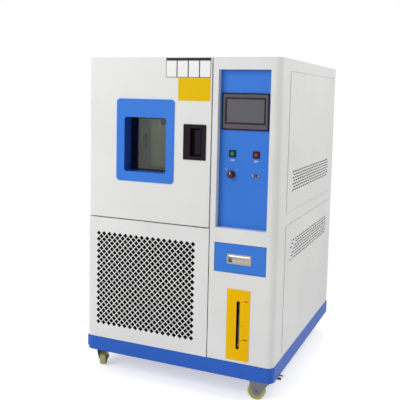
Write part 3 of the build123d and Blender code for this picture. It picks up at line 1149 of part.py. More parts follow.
tank_x = (LEFT + COLUMN_LEFT + TANK_FROM_COLUMN, RIGHT - TANK_FROM_RIGHT)
tank_y = (FRONT + TANK_BACK, FRONT + TANK_BACK + TANK_DEPTH)
lug_z = (tube_z[0] - LUG_CORE, tube_z[1] - LUG_HEIGHT + LUG_CORE)
tank_z = (BASE_TOP, lug_z[1] + LUG_HEIGHT + TANK_MARGIN)
with BuildPart() as water_tank:
    box(tank_x, tank_y, tank_z)
    inside_z = (tank_z[0] + TANK_WALL, tank_z[1] - TANK_WALL)
    inside_y = (tank_y[0] + TANK_WALL, tank_y[1] - TANK_WALL)
    box((tank_x[0] + TANK_WALL, tank_x[1] - TANK_WALL), inside_y, inside_z, mode=Mode.SUBTRACT)
    for low in lug_z:
        lug_x = (TUBE_PLACE[0] - TUBE_RADIUS - TANK_WALL, TUBE_PLACE[0] + TUBE_RADIUS + TANK_WALL)
        box(lug_x, (TUBE_PLACE[1] - TUBE_RADIUS - SHEET, tank_y[0]), (low, low + LUG_HEIGHT))
    with BuildSketch(Plane.XY.offset(tube_z[0])):
        with Locations(TUBE_PLACE):
            Circle(TUBE_RADIUS + SEAT_GAP)
    extrude(amount=tube_z[1] - tube_z[0], mode=Mode.SUBTRACT)
water_tank.part.label = "water_tank"

# Supply gland in the rear panel
with BuildPart() as power_gland:
    with BuildSketch(at(GLAND_CENTRE, BACK)):
        RegularPolygon(GLAND_NUT, 6)
        Circle(GLAND_BORE, mode=Mode.SUBTRACT)
    extrude(amount=-GLAND_REACH)
    for reach in (2 * GLAND_REACH, -2 * GLAND_REACH):
        with BuildSketch(at(GLAND_CENTRE, BACK)):
            Circle(GLAND_THREAD - SEAT_GAP)
            Circle(GLAND_BORE, mode=Mode.SUBTRACT)
        extrude(amount=reach)
    with BuildSketch(at(GLAND_CENTRE, BACK - SHEET)):
        RegularPolygon(GLAND_NUT, 6)
        Circle(GLAND_BORE, mode=Mode.SUBTRACT)
    extrude(amount=GLAND_REACH)
power_gland.part.label = "power_gland"

# Control gear on a plate in the right bay
with BuildPart() as electrical_panel:
    plate_y = (MOUTH + GEAR_PLATE_FRONT, MOUTH + GEAR_PLATE_FRONT + GEAR_PLATE_LENGTH)
    plate_z = (CAVITY_Z[0] - GEAR_PLATE_BELOW, CAVITY_Z[1] + GEAR_PLATE_ABOVE)
    gear_x = BULKHEAD + SHEET + GEAR_PLATE
    box((BULKHEAD + SHEET, gear_x), plate_y, plate_z)
    row_pitch = (plate_z[1] - plate_z[0]) / len(GEAR_ROWS)
    for row, (gear_height, gear_depth) in enumerate(GEAR_ROWS):
        row_middle = (gear_x + gear_depth / 2, sum(plate_y) / 2, plate_z[0] + (row + 0.5) * row_pitch)
        with Locations(Plane(row_middle, x_dir=(0, 1, 0), z_dir=(1, 0, 0))):
            with GridLocations(GEAR_PLATE_LENGTH / GEAR_COLUMNS, 1, GEAR_COLUMNS, 1):
                Box(GEAR_LENGTH, gear_height, gear_depth)
electrical_panel.part.label = "electrical_panel"

# Refrigeration set behind the perforated panel
with BuildPart() as compressor:
    with BuildSketch(Plane.XY.offset(BASE_TOP)):
        with Locations(COMPRESSOR_PLACE):
            Circle(COMPRESSOR_RADIUS)
    extrude(amount=COMPRESSOR_HEIGHT)
    fillet(compressor.edges().group_by(Axis.Z)[-1], COMPRESSOR_RADIUS / 2)
    with BuildSketch(Plane.XY.offset(BASE_TOP)):
        with Locations(COMPRESSOR_PLACE):
            Rectangle(2.6 * COMPRESSOR_RADIUS, 1.6 * COMPRESSOR_RADIUS)
    extrude(amount=COMPRESSOR_FOOT)
compressor.part.label = "compressor"

condenser_y = (FRONT + CONDENSER_FRONT, FRONT + CONDENSER_FRONT + CONDENSER_DEPTH)
blower_y = (condenser_y[1] + BLOWER_GAP, condenser_y[1] + BLOWER_GAP + BLOWER_WIDTH)
motor_y = (blower_y[1] + BLOWER_GAP, blower_y[1] + BLOWER_GAP + BLOWER_MOTOR)
with BuildPart() as condenser:
    box(condenser_x, condenser_y, condenser_z)
    arm_y = (motor_y[1] - POST, motor_y[1])
    arm_z = (CONDENSER_CENTRE[1] - POST / 2, CONDENSER_CENTRE[1] + POST / 2)
    for foot_x in (condenser_x[0], condenser_x[1] - POST):
        box((foot_x, foot_x + POST), (condenser_y[0], motor_y[1]), (BASE_TOP, BASE_TOP + POST))
        box((foot_x, foot_x + POST), condenser_y, (BASE_TOP, CONDENSER_CENTRE[1]))
        box((foot_x, foot_x + POST), arm_y, (BASE_TOP, arm_z[1]))
    box(condenser_x, arm_y, arm_z)
    with BuildSketch(at(CONDENSER_CENTRE, motor_y[0])):
        Circle(BLOWER_HUB)
    extrude(amount=-BLOWER_MOTOR)
    with Locations(at(CONDENSER_CENTRE, motor_y[0])):
        Cylinder(FAN_SHAFT + RUNNING_FIT, BLOWER_MOTOR, mode=Mode.SUBTRACT)
condenser.part.label = "condenser"

with BuildPart() as condenser_fan:
    with BuildSketch(at(CONDENSER_CENTRE, blower_y[1])):
        Circle(BLOWER_HUB)
    extrude(amount=BLOWER_WIDTH)
    blade_length = BLOWER_RADIUS - BLOWER_HUB
    with Locations(at(CONDENSER_CENTRE, sum(blower_y) / 2)):
        with PolarLocations(BLOWER_HUB + blade_length / 2 - SHEET, BLOWER_BLADES):
            Box(blade_length + 2 * SHEET, 0.45 * BLOWER_RADIUS, SHEET, rotation=(BLOWER_BLADE_ANGLE, 0, 0))
    with BuildSketch(at(CONDENSER_CENTRE, blower_y[1])):
        Circle(FAN_SHAFT)
    extrude(amount=-(BLOWER_GAP + BLOWER_SHAFT_ENTRY))
condenser_fan.part.label = "condenser_fan"

# Drain valve under the right skirt and its lever
with BuildPart() as drain_valve:
    with BuildSketch(Plane.XY.offset(VALVE_HEIGHT)):
        with Locations(VALVE):
            Circle(VALVE_PIPE)
    extrude(amount=BASE_TOP - BASE_WALL - VALVE_HEIGHT)
    with BuildSketch(Plane.XY.offset(VALVE_HEIGHT - VALVE_BODY)):
        with Locations(VALVE):
            Circle(VALVE_BODY)
    extrude(amount=2 * VALVE_BODY)
    outlet = Plane((VALVE[0], VALVE[1], VALVE_HEIGHT), x_dir=(0, 1, 0), z_dir=(1, 0, 0))
    with BuildSketch(outlet):
        Circle(VALVE_PIPE)
    extrude(amount=VALVE_REACH)
    with BuildSketch(outlet.offset(VALVE_REACH)):
        Circle(VALVE_BORE)
    extrude(amount=-(VALVE_REACH - VALVE_BODY), mode=Mode.SUBTRACT)
    with BuildSketch(Plane.XY.offset(VALVE_HEIGHT - VALVE_BODY)):
        with Locations(VALVE):
            Circle(VALVE_BORE + RUNNING_FIT)
    extrude(amount=VALVE_BODY, mode=Mode.SUBTRACT)
drain_valve.part.label = "drain_valve"

with BuildPart() as drain_lever:
    lever_top = VALVE_HEIGHT - VALVE_BODY - SEAT_GAP
    with BuildSketch(Plane.XY.offset(lever_top - LEVER_THICKNESS)):
        with Locations(VALVE):
            Circle(LEVER_WIDTH / 2)
        with Locations((VALVE[0] + LEVER_LENGTH / 2, VALVE[1])):
            Rectangle(LEVER_LENGTH, LEVER_WIDTH)
        with Locations((VALVE[0] + LEVER_LENGTH, VALVE[1])):
            Circle(LEVER_WIDTH / 2)
    extrude(amount=LEVER_THICKNESS)
    with BuildSketch(Plane.XY.offset(lever_top)):
        with Locations(VALVE):
            Circle(VALVE_BORE)
    extrude(amount=VALVE_BODY - LEVER_THICKNESS / 2)
drain_lever.part.label = "drain_lever"


# Swivel casters: a fork with kingpin, legs, collars and axle, and a wheel with a soft tyre
def caster_fork(yaw, place):
    """A fork whose wheel trails its kingpin in the direction of the yaw angle."""
    race_bottom = PAD_BOTTOM - SEAT_GAP - RACE_THICKNESS
    leg_inside = WHEEL_WIDTH / 2 + LEG_GAP
    leg_outside = leg_inside + LEG_THICKNESS
    collar_end = WHEEL_WIDTH / 2 + SEAT_GAP
    with BuildPart() as fork:
        with BuildSketch(Plane.XY.offset(race_bottom)):
            Circle(RACE_RADIUS)
        extrude(amount=RACE_THICKNESS)
        with BuildSketch(Plane.XY.offset(race_bottom)):
            Circle(KINGPIN_RADIUS)
        extrude(amount=RACE_THICKNESS + SEAT_GAP + PAD_THICKNESS + BASE_WALL + SEAT_GAP)
        with BuildSketch(Plane.XY.offset(PAD_BOTTOM + PAD_THICKNESS + BASE_WALL + SEAT_GAP)):
            RegularPolygon(1.7 * KINGPIN_RADIUS, 6)
        extrude(amount=1.3 * KINGPIN_RADIUS)
        for side in (-1, 1):
            leg_plane = Plane((0, side * leg_inside, 0), x_dir=(1, 0, 0), z_dir=(0, -1, 0))
            with BuildSketch(leg_plane):
                with BuildLine():
                    Polyline(
                        (-0.7 * RACE_RADIUS, race_bottom),
                        (0.8 * RACE_RADIUS, race_bottom),
                        (CASTER_TRAIL + LEG_END, WHEEL_RADIUS),
                        (CASTER_TRAIL, WHEEL_RADIUS - LEG_END),
                        (CASTER_TRAIL - LEG_END, WHEEL_RADIUS),
                        close=True,
                    )
                make_face()
            extrude(amount=-side * LEG_THICKNESS)
            collar_plane = Plane((CASTER_TRAIL, side * collar_end, WHEEL_RADIUS), z_dir=(0, side, 0))
            with BuildSketch(collar_plane):
                Circle(2 * AXLE_RADIUS)
            extrude(amount=leg_outside - collar_end + LEG_GAP)
        with Locations(Plane((CASTER_TRAIL, 0, WHEEL_RADIUS), z_dir=(0, 1, 0))):
            Cylinder(AXLE_RADIUS, 2 * leg_outside)
    return fork.part.moved(Location((place[0], place[1], 0), (0, 0, yaw)))


def caster_wheel(yaw, place):
    """A wheel on the axle of the fork at the same place and yaw."""
    dish_level = WHEEL_WIDTH / 2 - WHEEL_DISH
    rim_radius = WHEEL_RADIUS - TYRE_THICKNESS
    with BuildPart() as wheel:
        with BuildSketch(Plane.XY):
            with BuildLine():
                Polyline(
                    (AXLE_RADIUS + RUNNING_FIT, 0),
                    (AXLE_RADIUS + RUNNING_FIT, WHEEL_WIDTH / 2),
                    (HUB_RADIUS, WHEEL_WIDTH / 2),
                    (HUB_RADIUS, dish_level),
                    (rim_radius, dish_level),
                    (rim_radius, WHEEL_WIDTH / 2),
                    (WHEEL_RADIUS - WHEEL_DISH, WHEEL_WIDTH / 2),
                    (WHEEL_RADIUS, dish_level),
                    (WHEEL_RADIUS, 0),
                    close=True,
                )
            make_face()
            mirror(about=Plane.XZ)
        revolve(axis=Axis.Y)
    axle_x = place[0] + CASTER_TRAIL * cos(radians(yaw))
    axle_y = place[1] + CASTER_TRAIL * sin(radians(yaw))
    return wheel.part.moved(Location((axle_x, axle_y, WHEEL_RADIUS), (0, 0, yaw)))


caster_parts = []
for spot, side_x, side_y, yaw in CASTER_SPOTS:
    kingpin = (side_x * spacing_x / 2, side_y * spacing_y / 2)
    fork_part = caster_fork(yaw, kingpin)
    fork_part.label = "caster_fork_" + spot
    wheel_part = caster_wheel(yaw, kingpin)
    wheel_part.label = "caster_wheel_" + spot
    caster_parts += [fork_part, wheel_part]

os.makedirs("parts", exist_ok=True)
export_step(base_frame.part, "parts/base_frame.step")
export_step(inner_frame.part, "parts/inner_frame.step")
export_step(column_shell.part, "parts/column_shell.step")
export_step(side_access_panels.part, "parts/side_access_panels.step")
export_step(left_side_panel.part, "parts/left_side_panel.step")
export_step(top_cover.part, "parts/top_cover.step")
export_step(rear_panel.part, "parts/rear_panel.step")
export_step(front_grille_panel.part, "parts/front_grille_panel.step")
export_step(door_frame.part, "parts/door_frame.step")
export_step(inner_liner, "parts/inner_liner.step")
export_step(insulation.part, "parts/insulation.step")
export_step(shelves.part, "parts/shelves.step")
export_step(air_baffle.part, "parts/air_baffle.step")
export_step(circulation_fan.part, "parts/circulation_fan.step")
export_step(fan_motor.part, "parts/fan_motor.step")
export_step(heater_rods.part, "parts/heater_rods.step")
export_step(evaporator.part, "parts/evaporator.step")
export_step(cable_port.part, "parts/cable_port.step")
export_step(door_shell.part, "parts/door_shell.step")
export_step(window_bezel.part, "parts/window_bezel.step")
export_step(window_glass.part, "parts/window_glass.step")
export_step(door_liner.part, "parts/door_liner.step")
export_step(door_foam.part, "parts/door_foam.step")
export_step(door_gasket.part, "parts/door_gasket.step")
export_step(door_hinges.part, "parts/door_hinges.step")
export_step(hinge_brackets.part, "parts/hinge_brackets.step")
export_step(handle_housing.part, "parts/handle_housing.step")
export_step(handle_paddle.part, "parts/handle_paddle.step")
export_step(latch_bolt.part, "parts/latch_bolt.step")
export_step(control_panel.part, "parts/control_panel.step")
export_step(hmi_housing.part, "parts/hmi_housing.step")
export_step(hmi_screen.part, "parts/hmi_screen.step")
export_step(control_bezels.part, "parts/control_bezels.step")
export_step(start_button, "parts/start_button.step")
export_step(stop_button, "parts/stop_button.step")
export_step(selector_knob.part, "parts/selector_knob.step")
export_step(serial_port.part, "parts/serial_port.step")
export_step(drawer_housing.part, "parts/drawer_housing.step")
export_step(drawer_front.part, "parts/drawer_front.step")
export_step(drawer_tray.part, "parts/drawer_tray.step")
export_step(drawer_pull.part, "parts/drawer_pull.step")
export_step(gauge_plate.part, "parts/gauge_plate.step")
export_step(sight_tube.part, "parts/sight_tube.step")
export_step(level_float.part, "parts/level_float.step")
export_step(water_tank.part, "parts/water_tank.step")
export_step(power_gland.part, "parts/power_gland.step")
export_step(electrical_panel.part, "parts/electrical_panel.step")
export_step(compressor.part, "parts/compressor.step")
export_step(condenser.part, "parts/condenser.step")
export_step(condenser_fan.part, "parts/condenser_fan.step")
export_step(drain_valve.part, "parts/drain_valve.step")
export_step(drain_lever.part, "parts/drain_lever.step")
for caster_part in caster_parts:
    export_step(caster_part, "parts/" + caster_part.label + ".step")
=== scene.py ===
"""Looks of the environmental test chamber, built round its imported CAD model.

The cabinet's own finishes go on the CAD nodes. Fine sheet-metal work, plates, marks, linings and
screws are surfaces computed with numpy. Lengths are millimetres from the left side, the front
face and the floor until they go into a mesh, which is in metres in the row frame.
"""

import logging
from dataclasses import dataclass
from enum import Enum
from math import ceil, cos, radians, sin, sqrt

import bmesh
import bpy
import numpy as np
from bpy.types import ID, Material, Node, Object, World
from bpy.types import NodeSocket as Socket
from bpy.types import NodeTree as Tree
from mathutils import Matrix


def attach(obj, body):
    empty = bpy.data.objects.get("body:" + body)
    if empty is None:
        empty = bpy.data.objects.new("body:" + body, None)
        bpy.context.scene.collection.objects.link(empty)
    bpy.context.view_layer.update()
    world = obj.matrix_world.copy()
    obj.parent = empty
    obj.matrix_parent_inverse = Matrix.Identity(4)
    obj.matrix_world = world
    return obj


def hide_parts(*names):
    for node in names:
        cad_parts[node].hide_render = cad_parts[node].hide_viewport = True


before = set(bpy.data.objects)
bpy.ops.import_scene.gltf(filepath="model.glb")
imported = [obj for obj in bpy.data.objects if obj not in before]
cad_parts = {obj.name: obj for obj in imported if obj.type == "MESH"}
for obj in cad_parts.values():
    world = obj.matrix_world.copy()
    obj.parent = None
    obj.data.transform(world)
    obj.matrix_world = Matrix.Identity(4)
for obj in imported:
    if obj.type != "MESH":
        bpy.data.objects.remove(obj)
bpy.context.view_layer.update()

LOG = logging.getLogger("test_chamber")

Colour = tuple[float, float, float, float]
Pair = tuple[float, float]
Point = tuple[float, float, float]
Skin = tuple[np.ndarray, list]

METRES = 0.001
LEFT_SIDE = -450.0
FRONT_FACE = -505.0
CREASE = 35.0  # degrees: edges that turn more than this are crisp
TIP = 0.01  # radius that stands for the axis in a turned profile
STEEP = 0.9  # an axis that rises more than this is crossed with a level direction
EASED = 0.4  # corner radius of a block's eased face, as a share of its edge
LEAST_RADIUS = 0.5
RIGHTWARD, LEFTWARD = (1.0, 0.0, 0.0), (-1.0, 0.0, 0.0)
REARWARD, FORWARD = (0.0, 1.0, 0.0), (0.0, -1.0, 0.0)
SQUARE = ((-1, -1), (1, -1), (1, 1), (-1, 1))
# Reach and rise of a screw head, as shares of its radius.
HEAD = ((TIP, -0.2), (1.0, -0.2), (0.95, 0.16), (0.74, 0.33), (0.4, 0.4), (0.33, 0.22), (TIP, 0.2))


class Body(Enum):
    """The CAD bodies that new pieces ride on."""

    CABINET = "cabinet"
    DOOR = "door"
    DRAWER = "drawer"
    KNOB = "selector_knob"
    CASTER_FL = "caster_fork_fl"
    CASTER_FR = "caster_fork_fr"
    CASTER_RL = "caster_fork_rl"
    CASTER_RR = "caster_fork_rr"


class Slot(Enum):
    """Names of the record's material slots."""

    WHITE = "panel_white"
    TRIM_BLUE = "trim_blue"
    BLACK = "black_plastic"
    HANDLE = "handle_black"
    STEEL = "stainless"
    YELLOW = "gauge_yellow"
    PORT = "port_white"


def linear(hex_colour: str) -> Colour:
    """Turn an sRGB hex colour into linear light, by the standard's two-part curve.

    Args:
        hex_colour: six hex digits, such as "E9E9EA".

    Returns:
        Red, green, blue and an alpha of one.
    """
    channels = np.array([int(hex_colour[i : i + 2], 16) for i in (0, 2, 4)]) / 255
    light = np.where(channels <= 0.04045, channels / 12.92, ((channels + 0.055) / 1.055) ** 2.4)
    return (float(light[0]), float(light[1]), float(light[2]), 1.0)


def add_node(tree: Tree, kind: str, inputs: dict | None = None, **settings) -> Node:
    """Add one shader node with its settings, values and links.

    Args:
        tree: the node tree.
        kind: the node's type name without its leading ShaderNode.
        inputs: a value, or an output socket to link, for each named or numbered input.
        settings: values of the node's own properties.

    Returns:
        The new node.
    """
    made = tree.nodes.new(f"ShaderNode{kind}")
    for name, value in settings.items():
        setattr(made, name, value)
    for key, value in (inputs or {}).items():
        if isinstance(value, Socket):
            tree.links.new(value, made.inputs[key])
        else:
            made.inputs[key].default_value = value
    return made


def blank_tree(owner: Material | World) -> Tree:
    """Give a material or a world an empty node tree and return it."""
    owner.use_nodes = True
    owner.node_tree.nodes.clear()
    return owner.node_tree


def own_place(tree: Tree) -> Socket:
    """The coordinates of the object itself, in metres."""
    return add_node(tree, "TexCoord").outputs["Object"]


def pattern(tree: Tree, at: Socket, size: float, detail: float, kind: str = "TexNoise") -> Socket:
    """Noise or cells with features of a size in millimetres, at coordinates in metres."""
    inputs = {"Vector": at, "Scale": 1.0 / (size * METRES), "Detail": detail}
    return add_node(tree, kind, inputs).outputs[0]


def remap(tree: Tree, value: Socket, new: Pair, old: Pair = (0.0, 1.0), **settings) -> Socket:
    """Map a value from an old range onto a new one."""
    ends = {"From Min": old[0], "From Max": old[1], "To Min": new[0], "To Max": new[1]}
    return add_node(tree, "MapRange", {"Value": value} | ends, **settings).outputs[0]


def any_ray(tree: Tree, *kinds: str) -> Socket:
    """One for rays of any of the named kinds, nothing for all others."""
    path = add_node(tree, "LightPath").outputs
    found = path[f"Is {kinds[0]} Ray"]
    for kind in kinds[1:]:
        inputs = {0: found, 1: path[f"Is {kind} Ray"]}
        found = add_node(tree, "Math", inputs, operation="MAXIMUM").outputs[0]
    return found


@dataclass(frozen=True)
class Finish:
    """A surface finish. Subclasses wire it in their wire method."""

    name: str
    colour: str

    def wire(self, tree: Tree) -> Node:
        """Build the nodes and return the shader node for the surface."""
        raise NotImplementedError

    def material(self) -> Material:
        """Return the Blender material, made on first use."""
        made = bpy.data.materials.get(self.name)
        if made is None:
            made = bpy.data.materials.new(self.name)
            tree = blank_tree(made)
            add_node(tree, "OutputMaterial", {"Surface": self.wire(tree).outputs[0]})
            made.diffuse_color = linear(self.colour)
        return made


@dataclass(frozen=True)
class Textured(Finish):
    """An opaque finish whose tone, roughness and relief follow patterns."""

    roughness: float = 0.4
    spread: Pair = (-0.05, 0.06)

    def tone(self, tree: Tree, drift: Socket, gain: Pair, old: Pair = (0.0, 1.0)) -> Socket:
        """The colour, darkened and lightened by a value that drifts over an old range."""
        inputs = {"Color": linear(self.colour), "Value": remap(tree, drift, gain, old)}
        return add_node(tree, "HueSaturation", inputs).outputs[0]

    def shade(
        self, tree: Tree, tone: Socket, dulling: Socket, height: Socket, bump: Pair, more: dict
    ) -> Node:
        """Wire the surface shader.

        Args:
            tree: the node tree.
            tone: the colour.
            dulling: pattern that spreads the roughness.
            height: pattern of the relief.
            bump: strength of the relief, and its depth in millimetres.
            more: further inputs of the shader.

        Returns:
            The shader node.
        """
        ends = (self.roughness + self.spread[0], self.roughness + self.spread[1])
        relief = {"Height": height, "Strength": bump[0], "Distance": bump[1] * METRES}
        inputs = {
            "Base Color": tone,
            "Roughness": remap(tree, dulling, ends),
            "Normal": add_node(tree, "Bump", relief).outputs[0],
        }
        return add_node(tree, "BsdfPrincipled", inputs | more)


@dataclass(frozen=True)
class PowderCoat(Textured):
    """Polyester powder coat, sprayed on steel and baked.

    The baked film keeps a fine orange peel that breaks up reflections, and large sheets show
    slow drifts of tone.
    """

    peel_mm: float = 2.2
    roughness: float = 0.42
    spread: Pair = (-0.05, 0.07)
    peel_depth: float = 0.05
    peel_gain: float = 4.0
    drift: float = 0.03
    drift_mm: float = 260.0
    drift_range: Pair = (0.3, 0.7)
    specular: float = 0.25

    def wire(self, tree: Tree) -> Node:
        """Orange peel in the bump and the roughness, slow drift in tone."""
        place = own_place(tree)
        peel = pattern(tree, place, self.peel_mm, 2.0)
        drift = pattern(tree, place, self.drift_mm, 3.0)
        tone = self.tone(tree, drift, (1.0 - self.drift, 1.0 + self.drift), self.drift_range)
        bump = (self.peel_depth * self.peel_gain, self.peel_depth)
        return self.shade(tree, tone, peel, peel, bump, {"Specular IOR Level": self.specular})


@dataclass(frozen=True)
class BrushedSteel(Textured):
    """Stainless or plated steel sheet with a directional brushed grain.

    The grain runs level, so highlights stretch up and down and the sheet looks slightly streaked.
    """

    grain_mm: float = 0.8
    roughness: float = 0.3
    spread: Pair = (-0.06, 0.1)
    metallic: float = 1.0
    stretch: Point = (0.03, 0.03, 1.0)
    dark_share: float = 0.88
    bump: Pair = (0.15, 0.05)

    def wire(self, tree: Tree) -> Node:
        """Noise stretched along the brushing direction drives tone, roughness and bump."""
        inputs = {"Vector": own_place(tree), "Scale": self.stretch}
        stretched = add_node(tree, "Mapping", inputs, vector_type="POINT").outputs[0]
        grain = pattern(tree, stretched, self.grain_mm, 3.0)
        bright = linear(self.colour)
        dark = tuple(self.dark_share * channel for channel in bright[:3]) + (1.0,)
        mix = add_node(tree, "Mix", {"Factor": grain, "A": dark, "B": bright}, data_type="RGBA")
        more = {"Metallic": self.metallic}
        return self.shade(tree, mix.outputs["Result"], grain, grain, self.bump, more)


@dataclass(frozen=True)
class Moulded(Textured):
    """Injection-moulded plastic such as ABS or nylon, with the grain of its tool.

    Spark-eroded tools leave a fine even grain that dulls the highlight.
    """

    grain_mm: float = 0.7
    roughness: float = 0.45
    grain_depth: float = 0.04
    grain_strength: float = 0.2
    mottle_mm: float = 9.0
    mottle: Pair = (0.93, 1.06)
    coat: float = 0.0
    specular: float = 0.2

    def wire(self, tree: Tree) -> Node:
        """Cellular grain in the bump, faint mottling in tone and roughness."""
        place = own_place(tree)
        grain = pattern(tree, place, self.grain_mm, 0.0, "TexVoronoi")
        mottle = pattern(tree, place, self.mottle_mm, 3.0)
        tone = self.tone(tree, mottle, self.mottle)
        bump = (self.grain_strength, self.grain_depth)
        more = {"Coat Weight": self.coat, "Specular IOR Level": self.specular}
        return self.shade(tree, tone, mottle, grain, bump, more)


@dataclass(frozen=True)
class Pane(Finish):
    """Float glass, clear with the green cast of its edge; lamps shine through it."""

    film_mm: float = 45.0
    haze: Pair = (0.0, 0.05)
    refraction: float = 1.5

    def wire(self, tree: Tree) -> Node:
        """Glass that shadow rays pass, with a faint film of dust in its roughness."""
        tint = linear(self.colour)
        film = pattern(tree, own_place(tree), self.film_mm, 4.0)
        inputs = {
            "Base Color": tint,
            "Roughness": remap(tree, film, self.haze),
            "Transmission Weight": 1.0,
            "IOR": self.refraction,
        }
        glass = add_node(tree, "BsdfPrincipled", inputs).outputs[0]
        clear = add_node(tree, "BsdfTransparent", {"Color": tint}).outputs[0]
        return add_node(tree, "MixShader", {0: any_ray(tree, "Shadow"), 1: glass, 2: clear})


PRINT = {"grain_mm": 1.0, "grain_depth": 0.01}
SMOOTH = {"roughness": 0.2, "grain_depth": 0.01, "coat": 0.5}

WHITE_COAT = PowderCoat("white_powder_coat", "E4E4E3")
PLINTH_COAT = PowderCoat("plinth_blue_powder_coat", "2A60C0", roughness=0.45, specular=0.2)
TRIM_COAT = PowderCoat(
    "trim_blue_powder_coat", "3B7CDB", peel_mm=1.6, roughness=0.4, specular=0.15
)
# Deeper, duller blue laid on the window recess walls: painted shade of the recess.
RECESS_SHADE_BLUE = PowderCoat(
    "recess_painted_shade_blue", "2453B4", peel_mm=1.6, roughness=0.45, specular=0.08
)
GAUGE_COAT = PowderCoat(
    "gauge_yellow_screen_print", "F2BC00", peel_mm=1.4, roughness=0.5, drift=0.02, specular=0.08
)
FRAME_COAT = PowderCoat("frame_grey_primer", "8D9093", roughness=0.6)
MACHINE_COAT = PowderCoat("machine_black_enamel", "1B1B1D", roughness=0.35)

STAINLESS = BrushedSteel("brushed_stainless_steel", "C9C8C4")
ZINC = BrushedSteel("zinc_plated_steel", "6E6F76", grain_mm=1.5, roughness=0.38)
CHROME = BrushedSteel("polished_chrome", "D6D6D8", grain_mm=3.0, roughness=0.13)
# Darker plate for the drawer pull than its chrome grip: painted shade under the grip.
PULL_PLATE_SHADED = BrushedSteel("pull_plate_painted_shade", "B5AEA6", grain_mm=1.2, roughness=0.24)
FINS = BrushedSteel("mill_finish_aluminium", "B9BBBD", grain_mm=1.2, roughness=0.4)
CONTACT_GOLD = BrushedSteel("gold_plated_contacts", "C9A14A", roughness=0.25)

HANDLE_NYLON = Moulded("handle_glass_filled_nylon", "251D25", roughness=0.5, specular=0.06)
# Near-black sheet laid in the handle pocket: painted shade.
POCKET_SHADE = Moulded("pocket_painted_shade", "120E12", roughness=0.6, specular=0.05)
BLACK_ABS = Moulded("black_moulded_abs", "17161A", roughness=0.42)
KNOB_RED = Moulded("selector_brown_red_abs", "4A1A1E", roughness=0.35, specular=0.3)
SCREEN_ABS = Moulded("screen_unit_grey_abs", "645A66", roughness=0.5, specular=0.08)
SCREEN_FILM = Moulded(
    "screen_antiglare_film",
    "64636C",
    grain_mm=0.5,
    roughness=0.32,
    grain_depth=0.01,
    specular=0.1,
)
GREEN_LENS = Moulded("green_polycarbonate_lens", "0C8442", **SMOOTH)
RED_LENS = Moulded("red_polycarbonate_lens", "9E1419", **SMOOTH)
TYRE = Moulded("cast_polyurethane_tyre", "B9B47E", grain_mm=1.5, roughness=0.45)
SEAL = Moulded("extruded_silicone_seal", "1A1A1C", roughness=0.7, specular=0.08)
PORT_PLUG = Moulded("port_silicone_plug", "1E2A2A", roughness=0.6, specular=0.05)
FOAM = Moulded("polyurethane_foam", "E0CF9B", grain_mm=3.0, roughness=0.9, grain_depth=0.5)
# Black foam dust filter behind the intake holes, also standing in for the shade inside.
FILTER_SHADE_FOAM = Moulded(
    "black_filter_foam_painted_shade", "0C0B0C", grain_mm=2.0, roughness=0.9, grain_depth=0.3, specular=0.03
)
TANK_RESIN = Moulded(
    "rotation_moulded_black_resin", "161517", grain_mm=1.2, roughness=0.55, specular=0.1
)
RED_VINYL = Moulded("dipped_red_vinyl", "B5201B", roughness=0.35, coat=0.3)
FLOAT_RESIN = Moulded("float_orange_polypropylene", "C9A26A", roughness=0.4)
LABEL_WHITE = Moulded("printed_vinyl_white", "F1F1F0", roughness=0.35, **PRINT)
LABEL_BLACK = Moulded("printed_vinyl_black", "1A1718", roughness=0.35, **PRINT)
LABEL_YELLOW = Moulded("printed_vinyl_yellow", "E8BE00", roughness=0.4, specular=0.08, **PRINT)
MARK_INK = Moulded("screen_print_dark_ink", "7A5A10", roughness=0.5, **PRINT)
MARK_RED = Moulded("screen_print_red_ink", "D8481C", roughness=0.5, **PRINT)

PANE = Pane("door_float_glass", "DDE8DA")
TUBE = Pane("clear_acrylic_tube", "D8DCD8")

CORNERS = ("fl", "fr", "rl", "rr")
NODE_FINISHES: dict[Finish, str] = {
    PLINTH_COAT: "base_frame",
    FRAME_COAT: "inner_frame electrical_panel",
    WHITE_COAT: "column_shell side_access_panels left_side_panel top_cover rear_panel "
    "front_grille_panel door_shell",
    TRIM_COAT: "control_panel window_bezel drawer_front",
    GAUGE_COAT: "gauge_plate",
    STAINLESS: "door_frame inner_liner door_liner drawer_housing drawer_tray shelves "
    "air_baffle heater_rods latch_bolt",
    CHROME: "hinge_brackets door_hinges drain_valve",
    # The pull's darker plate paints the shade under its chrome grip.
    PULL_PLATE_SHADED: "drawer_pull",
    FINS: "evaporator circulation_fan",
    MACHINE_COAT: "fan_motor compressor condenser",
    HANDLE_NYLON: "handle_housing handle_paddle",
    BLACK_ABS: "control_bezels power_gland condenser_fan",
    KNOB_RED: "selector_knob",
    SCREEN_ABS: "hmi_housing",
    SCREEN_FILM: "hmi_screen",
    GREEN_LENS: "start_button",
    RED_LENS: "stop_button",
    PORT_PLUG: "cable_port",
    TANK_RESIN: "water_tank",
    SEAL: "door_gasket",
    FOAM: "insulation door_foam",
    RED_VINYL: "drain_lever",
    FLOAT_RESIN: "level_float",
    PANE: "window_glass",
    TUBE: "sight_tube",
    ZINC: "serial_port " + " ".join(f"caster_fork_{corner}" for corner in CORNERS),
    TYRE: " ".join(f"caster_wheel_{corner}" for corner in CORNERS),
}


def dress_nodes() -> None:
    """Give every CAD node its finish."""
    for finish, names in NODE_FINISHES.items():
        for name in names.split():
            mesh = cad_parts[name].data
            mesh.materials.clear()
            mesh.materials.append(finish.material())


